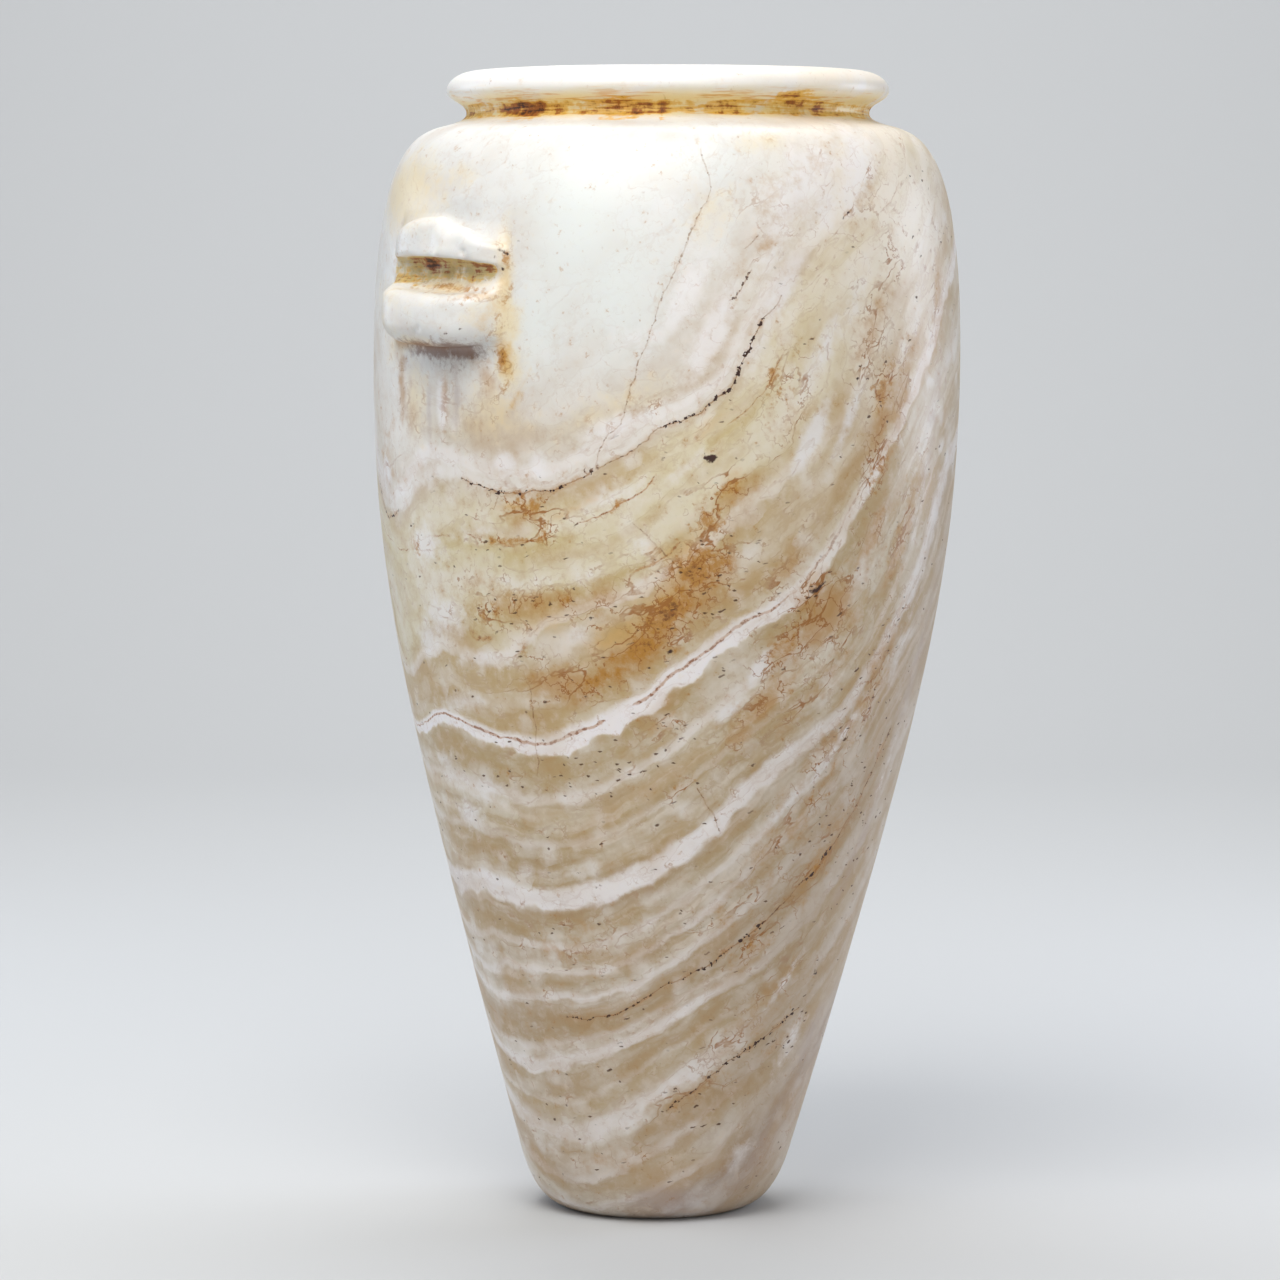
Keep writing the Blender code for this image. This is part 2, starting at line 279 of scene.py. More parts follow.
def outline_rows():
    """Rows as (radius, height, lug reach, lug height, in the lugs' band)."""
    tilt_room = LUG_HALF_WIDTH * tan(abs(WORN_TILT))
    below = SIDE[SIDE[:, 1] < LUG_BOTTOM - tilt_room]
    above = SIDE[SIDE[:, 1] > LUG_TOP + tilt_room]
    foot_corner = (FOOT_RADIUS - WALL_FLARE * FOOT_RISE, 0)
    rise = NECK_HEIGHT - SHOULDER_HEIGHT
    rim_height = HEIGHT - RIM_ROLL[1]
    middle = (NECK_HEIGHT + rim_height) / 2
    inner = shoulder(WALL)[::-1]
    throat_height = inner[0][1] + SHOULDER_SLOPE * (inner[0][0] - MOUTH_RADIUS)
    floor_top = FLOOR + FLOOR_ROUND
    inside_heights = np.linspace(BELLY_HEIGHT, floor_top, 40)
    foot = bezier([(UNDERSIDE_RADIUS, 0), foot_corner, (FOOT_RADIUS, FOOT_RISE)])
    groove_foot = bezier([(SHOULDER_RADIUS, SHOULDER_HEIGHT),
                          (SHOULDER_RADIUS - GROOVE_PULL_IN, SHOULDER_HEIGHT + rise / 4),
                          (NECK_RADIUS, NECK_HEIGHT - rise / 2), (NECK_RADIUS, NECK_HEIGHT)])
    groove_top = bezier([(NECK_RADIUS, NECK_HEIGHT), (NECK_RADIUS, middle), (RIM_RADIUS, middle),
                         (RIM_RADIUS, rim_height)])
    rim = arc((RIM_RADIUS - RIM_ROLL[0], rim_height), *RIM_ROLL, 0, pi / 2)
    mouth = arc((MOUTH_RADIUS + MOUTH_EDGE, HEIGHT - MOUTH_EDGE), MOUTH_EDGE, MOUTH_EDGE, pi / 2, pi)
    throat = bezier([(MOUTH_RADIUS, throat_height + THROAT_EDGE), (MOUTH_RADIUS, throat_height),
                     (MOUTH_RADIUS + THROAT_EDGE, throat_height - SHOULDER_SLOPE * THROAT_EDGE)])
    inner_wall = np.stack([wall_radius(inside_heights) - WALL, inside_heights], 1)
    corner_centre = (wall_radius(floor_top) - WALL - FLOOR_ROUND, floor_top)
    floor_corner = arc(corner_centre, FLOOR_ROUND, FLOOR_ROUND, 0, -pi / 2)
    parts = [
        [(0, 0), (9, 0), (18, 0)],
        evenly(foot, ROWS_OF["foot"])[:-1],
        evenly(below, ROWS_OF["wall"]),
        "lugs",
        evenly(above, ROWS_OF["shoulder"])[:-1],
        evenly(groove_foot, ROWS_OF["groove foot"])[:-1],
        evenly(groove_top, ROWS_OF["groove top"])[:-1],
        evenly(rim, ROWS_OF["rim"]),
        evenly(mouth, ROWS_OF["mouth"]),
        evenly(throat, ROWS_OF["throat"]),
        evenly(inner, ROWS_OF["inner shoulder"])[:-1],
        evenly(inner_wall, ROWS_OF["inner wall"])[:-1],
        evenly(floor_corner, ROWS_OF["floor corner"]),
        [(8, FLOOR), (0, FLOOR)],
    ]
    rows = []
    for part in parts:
        if isinstance(part, str):
            shares = np.linspace(0, 1, len(section))
            heights = LUG_BOTTOM + (LUG_TOP - LUG_BOTTOM) * shares
            rows += [(wall_radius(h), h, reach, lug_h, 1) for h, (reach, lug_h) in zip(heights, section)]
        else:
            rows += [(r, h, 0, h, 0) for r, h in part]
    return np.array(rows)


rows = outline_rows()
print(len(rows), "rows,", int(rows[:, 4].sum()), "of them in the lugs' band")


# %% The rows and the wall's radius as meshes that the tree can read
def table(name, points, carried=None):
    """A mesh of loose points that a node tree samples by index, in millimetres."""
    mesh = bpy.data.meshes.new(name)
    mesh.from_pydata([tuple(point) for point in points], [], [])
    if carried is not None:
        carried_values = mesh.attributes.new("lug", "FLOAT_VECTOR", "POINT")
        carried_values.data.foreach_set("vector", np.array(carried, np.float32).ravel())
    made = bpy.data.objects.new(name, mesh)
    bpy.context.scene.collection.objects.link(made)
    return made


row_table = table("row_table", np.stack([rows[:, 0], rows[:, 1], rows[:, 1] * 0], 1), rows[:, 2:5])
RADIUS_STEP = 0.5
radius_heights = np.arange(LUG_BOTTOM - 5, LUG_TOP + 5, RADIUS_STEP)
radii_by_height = np.stack([wall_radius(radius_heights), radius_heights, radius_heights * 0], 1)
radius_table = table("radius_table", radii_by_height)
print("radius table of", len(radius_heights), "heights")

# %% [markdown]
# ## Sweeping the jar with Geometry Nodes
#
# A flat grid is bent into the jar: one direction runs round the axis, the other along the rows. A
# Screw modifier would turn the outline too, but here each point must also know how far it is from a
# lug, so the tree works out every place itself. It takes its sizes as named inputs, in millimetres.

# %% The tree and its inputs
SIZES = {
    "Columns": 336, "Crowding": 0.6, "Belly Radius": BELLY_RADIUS, "Lug Half Width": LUG_HALF_WIDTH,
    "End Shape": 3.5, "Corner Shape": 2.5, "Top Rounding": 0.38, "Foot Rounding": 0.15,
    "Tilt": tan(WORN_TILT), "Height": HEIGHT, "Lean": LEAN, "Lean Heading": VIEW_TURN,
    "Grinding": 0.35, "Grinding Size": 34.0, "Seed": 7.0,
}
stone = bpy.data.materials.new("polished_banded_travertine")
stone.use_nodes = True
sweep = bpy.data.node_groups.new("swept_jar", "GeometryNodeTree")
sweep.is_modifier = True
for name in ("Rows", "Wall Radii"):
    sweep.interface.new_socket(name, in_out="INPUT", socket_type="NodeSocketObject")
for name in SIZES:
    sweep.interface.new_socket(name, in_out="INPUT", socket_type="NodeSocketFloat")
sweep.interface.new_socket("Geometry", in_out="OUTPUT", socket_type="NodeSocketGeometry")
given = add(sweep, "NodeGroupInput", out=None)
print("the tree takes", len(SIZES) + 2, "inputs")

# %% A grid with a column for each heading and a row for each point of the outline
row_points = add(sweep, "GeometryNodeObjectInfo", {"Object": given["Rows"]}, "Geometry")
radii = add(sweep, "GeometryNodeObjectInfo", {"Object": given["Wall Radii"]}, "Geometry")
row_count = add(sweep, "GeometryNodeAttributeDomainSize", [row_points], "Point Count")
column_count = add(sweep, MATH, [given["Columns"], 1.0], operation="ADD")
grid = add(sweep, "GeometryNodeMeshGrid",
           {"Size X": 1.0, "Size Y": 1.0, "Vertices X": column_count, "Vertices Y": row_count})
position = add(sweep, "GeometryNodeInputPosition")
grid_place = add(sweep, AXES, [position], out=None)
across = add(sweep, MATH, [grid_place[0], 0.5], operation="ADD")
row_share = add(sweep, MATH, [grid_place[1], 0.5], operation="ADD")
last_row = add(sweep, MATH, [row_count, 1.0], operation="SUBTRACT")
row = add(sweep, MATH, [add(sweep, MATH, [row_share, last_row], operation="MULTIPLY")], operation="ROUND")
print("a grid of", SIZES["Columns"] + 1, "by", len(rows))

# %% Headings of the columns, which crowd at the two lugs
twice = add(sweep, MATH, [across, 4 * pi], operation="MULTIPLY")
ripple = add(sweep, MATH, [twice], operation="SINE")
half_crowding = add(sweep, MATH, [given["Crowding"], -0.5], operation="MULTIPLY")
once = add(sweep, MATH, [across, 2 * pi], operation="MULTIPLY")
turn = add(sweep, MATH, [half_crowding, ripple, once], operation="MULTIPLY_ADD")
cosine = add(sweep, MATH, [turn], operation="COSINE")
sine = add(sweep, MATH, [turn], operation="SINE")
facing = add(sweep, MATH, [cosine], operation="SIGN")
print("columns crowd by", SIZES["Crowding"])

# %% What the row table says: the plain outline and the lug's section
LOOKUP = {"data_type": "FLOAT_VECTOR", "clamp": True}
lug_value = add(sweep, "GeometryNodeInputNamedAttribute", {"Name": "lug"}, data_type="FLOAT_VECTOR")
plain_point = add(sweep, "GeometryNodeSampleIndex",
                  {"Geometry": row_points, "Value": position, "Index": row}, **LOOKUP)
lug_point = add(sweep, "GeometryNodeSampleIndex",
                {"Geometry": row_points, "Value": lug_value, "Index": row}, **LOOKUP)
plain_radius, plain_height, _ = add(sweep, AXES, [plain_point], out=None)
lug_reach, lug_height, in_band = add(sweep, AXES, [lug_point], out=None)
print("rows from", round(rows[0, 1]), "to", round(rows[:, 1].max()), "mm")

# %% How full the lug is, from 1 in its middle to 0 at its ends, and how its ends close in
signed_sine = add(sweep, MATH, [sine, facing], operation="MULTIPLY")
along = add(sweep, MATH, [signed_sine, given["Belly Radius"]], operation="MULTIPLY")
apart = add(sweep, MATH, [along], operation="ABSOLUTE")
share = add(sweep, MATH, [apart, given["Lug Half Width"]], operation="DIVIDE")
ratio = add(sweep, MATH, [share, 1.0], operation="MINIMUM")
emptied = add(sweep, MATH, [ratio, given["End Shape"]], operation="POWER")
fullness = add(sweep, MATH, [1.0, emptied], operation="SUBTRACT")
climb = add(sweep, MATH, [lug_height, plain_height], operation="SUBTRACT")
blended = add(sweep, MATH, [climb, fullness, plain_height], operation="MULTIPLY_ADD")
middle = (LUG_BOTTOM + LUG_TOP) / 2
upper = add(sweep, MATH, [blended, middle], operation="GREATER_THAN")
extra = add(sweep, MATH, [given["Top Rounding"], given["Foot Rounding"]], operation="SUBTRACT")
rounding = add(sweep, MATH, [upper, extra, given["Foot Rounding"]], operation="MULTIPLY_ADD")
cornered = add(sweep, MATH, [ratio, given["Corner Shape"]], operation="POWER")
taken_in = add(sweep, MATH, [rounding, cornered], operation="MULTIPLY")
narrowed = add(sweep, MATH, [1.0, taken_in], operation="SUBTRACT")
from_middle = add(sweep, MATH, [blended, middle], operation="SUBTRACT")
level = add(sweep, MATH, [from_middle, narrowed, middle], operation="MULTIPLY_ADD")
print("lug", 2 * LUG_HALF_WIDTH, "mm wide, its middle at", round(middle, 1), "mm")

# %% The worn lug slants a little, and its band follows it as far as its slant fades
SLANT_ENDS_AT = 2.2
fade = add(sweep, RANGE, [share, 1.0, SLANT_ENDS_AT, 1.0, 0.0], **SMOOTH)
worn_side = add(sweep, MATH, [facing, 0.0], operation="LESS_THAN")
faded = add(sweep, MATH, [fade, worn_side], operation="MULTIPLY")
slant = add(sweep, MATH, [given["Tilt"], along], operation="MULTIPLY")
band_height = add(sweep, MATH, [slant, faded, level], operation="MULTIPLY_ADD")
print("slant", round(WORN_TILT * 180 / pi, 1), "degrees")

# %% The wall's radius at the band's height, read between two entries of its table
above_first = add(sweep, MATH, [band_height, radius_heights[0]], operation="SUBTRACT")
entry = add(sweep, MATH, [above_first, RADIUS_STEP], operation="DIVIDE")
entry_low = add(sweep, MATH, [entry], operation="FLOOR")
entry_high = add(sweep, MATH, [entry_low, 1.0], operation="ADD")
between_entries = add(sweep, MATH, [entry, entry_low], operation="SUBTRACT")
neighbours = []
for index in (entry_low, entry_high):
    found = add(sweep, "GeometryNodeSampleIndex",
                {"Geometry": radii, "Value": position, "Index": index}, **LOOKUP)
    neighbours.append(add(sweep, AXES, [found]))
widening = add(sweep, MATH, [neighbours[1], neighbours[0]], operation="SUBTRACT")
band_radius = add(sweep, MATH, [widening, between_entries, neighbours[0]], operation="MULTIPLY_ADD")
print("radii every", RADIUS_STEP, "mm")

# %% Radius and height of every point, and how far the lug grows out of the wall
radius_more = add(sweep, MATH, [band_radius, plain_radius], operation="SUBTRACT")
radius = add(sweep, MATH, [radius_more, in_band, plain_radius], operation="MULTIPLY_ADD")
height_more = add(sweep, MATH, [band_height, plain_height], operation="SUBTRACT")
point_height = add(sweep, MATH, [height_more, in_band, plain_height], operation="MULTIPLY_ADD")
flat = add(sweep, MATH, [1.0, add(sweep, MATH, [cosine], operation="ABSOLUTE")], operation="SUBTRACT")
reach = add(sweep, MATH, [radius, flat, lug_reach], operation="MULTIPLY_ADD")
lug_share = add(sweep, MATH, [fullness, in_band], operation="MULTIPLY")
grown = add(sweep, MATH, [reach, lug_share], operation="MULTIPLY")
print("reach of the lobes", LOWER_REACH, "and", UPPER_REACH, "mm")

# %% The lean of the axis, and the points in metres
height_share = add(sweep, MATH, [point_height, given["Height"]], operation="DIVIDE")
drop = add(sweep, MATH, [1.0, height_share], operation="SUBTRACT", use_clamp=True)
bowed = add(sweep, MATH, [drop, LEAN_BOW], operation="POWER")
lean_share = add(sweep, MATH, [1.0, bowed], operation="SUBTRACT")
shift = add(sweep, MATH, [given["Lean"], lean_share], operation="MULTIPLY")
shift_x = add(sweep, MATH, [given["Lean Heading"]], operation="COSINE")
shift_y = add(sweep, MATH, [given["Lean Heading"]], operation="SINE")
leaning_x = add(sweep, MATH, [shift, shift_x], operation="MULTIPLY")
with_lug = add(sweep, MATH, [grown, facing, leaning_x], operation="MULTIPLY_ADD")
x = add(sweep, MATH, [radius, cosine, with_lug], operation="MULTIPLY_ADD")
leaning_y = add(sweep, MATH, [shift, shift_y], operation="MULTIPLY")
y = add(sweep, MATH, [radius, sine, leaning_y], operation="MULTIPLY_ADD")
point = add(sweep, "ShaderNodeCombineXYZ", [x, y, point_height])
SEAM_GAP = 0.01
metres = add(sweep, VECTOR, {0: point, "Scale": MM}, operation="SCALE")
bent = add(sweep, "GeometryNodeSetPosition", {"Geometry": grid, "Position": metres})
closed = add(sweep, "GeometryNodeMergeByDistance", {"Geometry": bent, "Distance": SEAM_GAP * MM})
print("the axis leans", LEAN, "mm")

# %% [markdown]
# The last step of the tree takes off a few tenths of a millimetre unevenly, as hand grinding does. It
# never adds stone, and it leaves the underside flat. The tree then runs once, and only its mesh stays.

# %% Hand grinding, and the end of the tree
UNDERSIDE_STAYS = 0.4
wave = add(sweep, MATH, [1 / MM, given["Grinding Size"]], operation="DIVIDE")
waviness = add(sweep, NOISE, {"Vector": position, "W": given["Seed"], "Scale": wave, "Detail": 2.0,
                              "Roughness": 0.35}, noise_dimensions="4D")
lifted = add(sweep, AXES, [position], 2)
standing = add(sweep, MATH, [lifted, UNDERSIDE_STAYS * MM], operation="GREATER_THAN")
ground_off = add(sweep, MATH, [given["Grinding"], -MM], operation="MULTIPLY")
uneven = add(sweep, MATH, [waviness, ground_off], operation="MULTIPLY")
taken = add(sweep, MATH, [uneven, standing], operation="MULTIPLY")
normal = add(sweep, "GeometryNodeInputNormal")
offset = add(sweep, VECTOR, {0: normal, "Scale": taken}, operation="SCALE")
ground = add(sweep, "GeometryNodeSetPosition", {"Geometry": closed, "Offset": offset})
smooth = add(sweep, "GeometryNodeSetShadeSmooth", [ground])
real = add(sweep, "GeometryNodeRealizeInstances", [smooth])
dressed = add(sweep, "GeometryNodeSetMaterial", {"Geometry": real, "Material": stone})
add(sweep, "NodeGroupOutput", [dressed], out=None)
print("the tree has", len(sweep.nodes), "nodes")

# %% Run the tree once and keep its mesh
carrier = bpy.data.objects.new("jar_carrier", bpy.data.meshes.new("jar_carrier"))
bpy.context.scene.collection.objects.link(carrier)
modifier = carrier.modifiers.new("sweep", "NODES")
modifier.node_group = sweep
values = {"Rows": row_table, "Wall Radii": radius_table}
values |= {name: float(size) for name, size in SIZES.items()}
for item in sweep.interface.items_tree:
    if item.in_out == "INPUT":
        modifier[item.identifier] = values[item.name]
evaluated = carrier.evaluated_get(bpy.context.evaluated_depsgraph_get())
mesh = bpy.data.meshes.new_from_object(evaluated)
mesh.name = "jar_of_stone"
carrier.modifiers.remove(modifier)
for used in (carrier, row_table, radius_table):
    bpy.data.objects.remove(used)
jar = bpy.data.objects.new("jar_of_stone", mesh)
bpy.context.scene.collection.objects.link(jar)
triangles = sum(len(face.vertices) - 2 for face in mesh.polygons)
print("jar_of_stone:", len(mesh.vertices), "points,", triangles, "triangles")

# %% [markdown]
# ## Places on the wall
#
# Veins, stains and chips are placed as on a globe, by heading and height. A heading is in degrees from
# the side that faces the camera, plus to the right. One function turns such a place into a point.

# %% Places by heading and height
CAMERA_HEADING = VIEW_TURN - pi / 2


def on_wall(heading, height, out=0.0):
    """The point on the outside at a heading and height, in millimetres; arrays work too."""
    turn = np.radians(heading) + CAMERA_HEADING
    radius = wall_radius(height) + out
    x = radius * np.cos(turn) + lean(height) * cos(VIEW_TURN)
    y = radius * np.sin(turn) + lean(height) * sin(VIEW_TURN)
    return np.stack([x, y, np.asarray(height, float) + 0 * x], -1)


points = np.empty(len(jar.data.vertices) * 3)
jar.data.vertices.foreach_get("co", points)
points = points.reshape(-1, 3) / MM
print("a point on the front at mid height", on_wall(0, 190).round(1))

# %% [markdown]
# ## Wear on the lugs
#
# The lug in view broke long ago: its upper lobe stands higher on the left, a dent and a nib of stone
# interrupt its edge, and the back of the groove is rough from the drill. These few dents and bumps are
# too irregular for the tree, so they are pressed into the finished mesh one by one. The other lug gets
# its own, milder set.

# %% Dents and bumps: (along the lug, height, half length, half height, out from the wall)
WORN_LUG_DENTS = [
    (-9, 327, 9, 5, -1.0), (9, 324, 9, 3.5, 0.5), (-14, 320, 3.0, 4, -0.9), (-1.5, 321, 2.6, 6, -0.8),
    (-5.5, 314.5, 1.3, 2.2, 1.3), (10, 314.2, 6, 1.2, -0.7), (3, 314.0, 2.5, 1.0, 0.6),
    (-8, 316, 2.5, 3, 0.7), (18, 303.5, 6, 2.5, 0.9), (0, 304, 5, 1.6, -0.7), (-12, 303, 5, 2.2, -1.3),
    (-18, 296, 5, 5, -0.8), (9, 309, 3, 3, -1.0), (-3, 308, 2.5, 3, 0.8), (-13, 308, 3, 2, 0.7),
    (15, 311, 2, 2, 0.6), (-4, 290.5, 1.1, 1.0, -0.8), (-6.5, 291.8, 0.9, 0.9, -0.6),
    (-17.5, 316, 1.2, 1.4, -0.9), (-19, 313.5, 1.2, 1.4, -0.9), (6, 287, 8, 1.5, 0.5),
]
PLAIN_LUG_DENTS = [
    (8, 326, 8, 4, -0.9), (-10, 322, 5, 4, -0.6), (5, 314, 5, 1.4, -0.7), (-12, 303, 6, 2.2, -0.9),
    (12, 298, 6, 5, -0.7), (-4, 309, 3, 3, -0.8), (10, 307, 3, 2.5, 0.7),
]
LUG_REGION = {"half length": 30, "middle": 306, "half height": 26, "into the wall": 5}
DRILLED = {"height": 309, "half height": 4.5, "half length": 24}
DRILL_MARK, DRILL_DEPTH = 2.6, 0.7
SLUMP, SLUMP_FROM, SLUMP_TO = 2.4, 316, 330


def press_dents(facing, dents):
    """Moves the points of one lug in or out; facing is -1 for the worn lug, 1 for the other."""
    on_lug = (points[:, 0] * facing > 0) & (abs(points[:, 1]) < LUG_REGION["half length"])
    on_lug &= abs(points[:, 2] - LUG_REGION["middle"]) < LUG_REGION["half height"]
    behind = wall_radius(points[:, 2]) - LUG_REGION["into the wall"]
    on_lug &= np.hypot(points[:, 0], points[:, 1]) > behind
    for along, height, half_length, half_height, out in dents:
        spread = ((points[:, 1] - along) / half_length) ** 2 + ((points[:, 2] - height) / half_height) ** 2
        points[on_lug, 0] += (facing * out * np.exp(-spread))[on_lug]
    roughness = np.exp(-((points[:, 2] - DRILLED["height"]) / DRILLED["half height"]) ** 2)
    roughness *= abs(points[:, 1]) < DRILLED["half length"]
    jagged = np.array([noise.noise(Vector(point) / DRILL_MARK) for point in points[on_lug]])
    points[on_lug, 0] += facing * DRILL_DEPTH * jagged * roughness[on_lug]
    return int(on_lug.sum())


print("dented", press_dents(-1, WORN_LUG_DENTS), "and", press_dents(1, PLAIN_LUG_DENTS), "points")
worn_upper_lobe = (points[:, 0] < 0) & (abs(points[:, 1]) < LUG_REGION["half length"])
worn_upper_lobe &= (points[:, 2] > SLUMP_FROM) & (points[:, 2] < SLUMP_TO)
slump = np.clip((-points[:, 1] - 1) / 9, 0, 1) * np.clip((points[:, 2] - SLUMP_FROM) / 8, 0, 1)
points[worn_upper_lobe, 2] -= (SLUMP * slump)[worn_upper_lobe]
jar.data.vertices.foreach_set("co", (points * MM).ravel())
jar.data.update()

# %% [markdown]
# ## The layers of the stone
#
# Travertine grows in layers, one over another, so a whole block has one main direction of layering
# that the jar was cut across. Here every point of the jar gets its age in the stack, in millimetres of
# stone that grew after it, so the oldest layers lie at the top. The stack is tilted and flat at first,
# then bent so that the layers follow the courses seen on the wall. Away from those courses the layers
# wander gently by themselves. The age is kept on the mesh as an attribute.

# %% Courses that the layers follow: age in the stack, then (heading, height) along it
TILT_OF_LAYERS = np.array([-1.099, -0.152, 1.0])
COURSES = {
    340: [(-77, 235), (-70, 230), (-66, 232), (-54, 243), (-45, 244), (-37, 242), (-29, 240), (-21, 242),
          (-13, 248), (-7, 254), (-2, 261), (6, 266), (12, 274), (14, 282), (18, 295), (23, 307),
          (32, 321), (41, 335)],
    322: [(-71, 223), (-54, 222), (-46, 229), (-41, 225), (-32, 225), (-24, 227), (-13, 234), (-4, 243),
          (6, 257), (14, 267), (23, 288), (34, 316)],
    292: [(-79, 181), (-59, 188), (-51, 195), (-45, 188), (-37, 190), (-22, 204), (-9, 210), (2, 220),
          (13, 236), (23, 248), (32, 260), (38, 276), (50, 304)],
    252: [(-69, 163), (-59, 169), (-54, 165), (-44, 164), (-31, 160), (-23, 162), (-14, 168), (-5, 175),
          (7, 190), (18, 201), (27, 210), (33, 221), (37, 233), (43, 247), (51, 266), (62, 291), (72, 310)],
    183: [(-75, 110), (-62, 112), (-48, 111), (-37, 107), (-28, 108), (-16, 112), (0, 121), (14, 136),
          (27, 154), (37, 163), (46, 176), (56, 198), (64, 217), (70, 242)],
    129: [(-57, 65), (-37, 68), (-28, 70), (-22, 69), (-12, 72), (0, 80), (12, 87), (23, 96), (28, 101),
          (39, 113), (47, 124), (55, 139), (62, 162)],
    111: [(-70, 56), (-56, 53), (-42, 53), (-27, 56), (-12, 63), (0, 68), (12, 77), (24, 83), (39, 95),
          (51, 110)],
}
BEND_REACH = 20.0
BEND_SLACK = 0.03
WANDER = 8.0


def wandering(places, size, seed):
    """Soft noise from -1 to 1 at each place, with waves of the given size in millimetres."""
    shift = Vector((seed, 2 * seed, 3 * seed))
    return np.array([noise.noise(Vector(place) / size + shift) for place in places])


def age_of_layers(places):
    """The age in the stack at each place, bent to follow the courses."""
    traced, wanted = [], []
    for age, course in COURSES.items():
        for heading, height in course:
            traced.append(on_wall(heading, height))
            wanted.append(age)
    traced = np.array(traced)
    missing = np.array(wanted) - traced @ TILT_OF_LAYERS
    between = np.linalg.norm(traced[:, None] - traced[None], axis=2)
    pulls = np.exp(-(between / BEND_REACH) ** 2 / 2)
    weights = np.linalg.solve(pulls + BEND_SLACK * np.eye(len(traced)), missing)
    ages = places @ TILT_OF_LAYERS
    near = np.zeros(len(places))
    for centre, weight in zip(traced, weights):
        pull = np.exp(-np.sum((places - centre) ** 2, axis=1) / (2 * BEND_REACH ** 2))
        ages += weight * pull
        near = np.maximum(near, pull)
    return ages + (1 - near) * (WANDER * wandering(places, 60, 3) + 0.3 * WANDER * wandering(places, 18, 5))


on_mesh = []


def keep_on_mesh(name, values):
    """Stores one number for each point of the jar, and notes its name for the material."""
    attribute = jar.data.attributes.new(name, "FLOAT", "POINT")
    attribute.data.foreach_set("value", values.astype(np.float32))
    on_mesh.append(name)


ages = age_of_layers(points)
keep_on_mesh("age", ages)
print("ages from", round(ages.min()), "to", round(ages.max()), "mm over", len(COURSES), "courses")
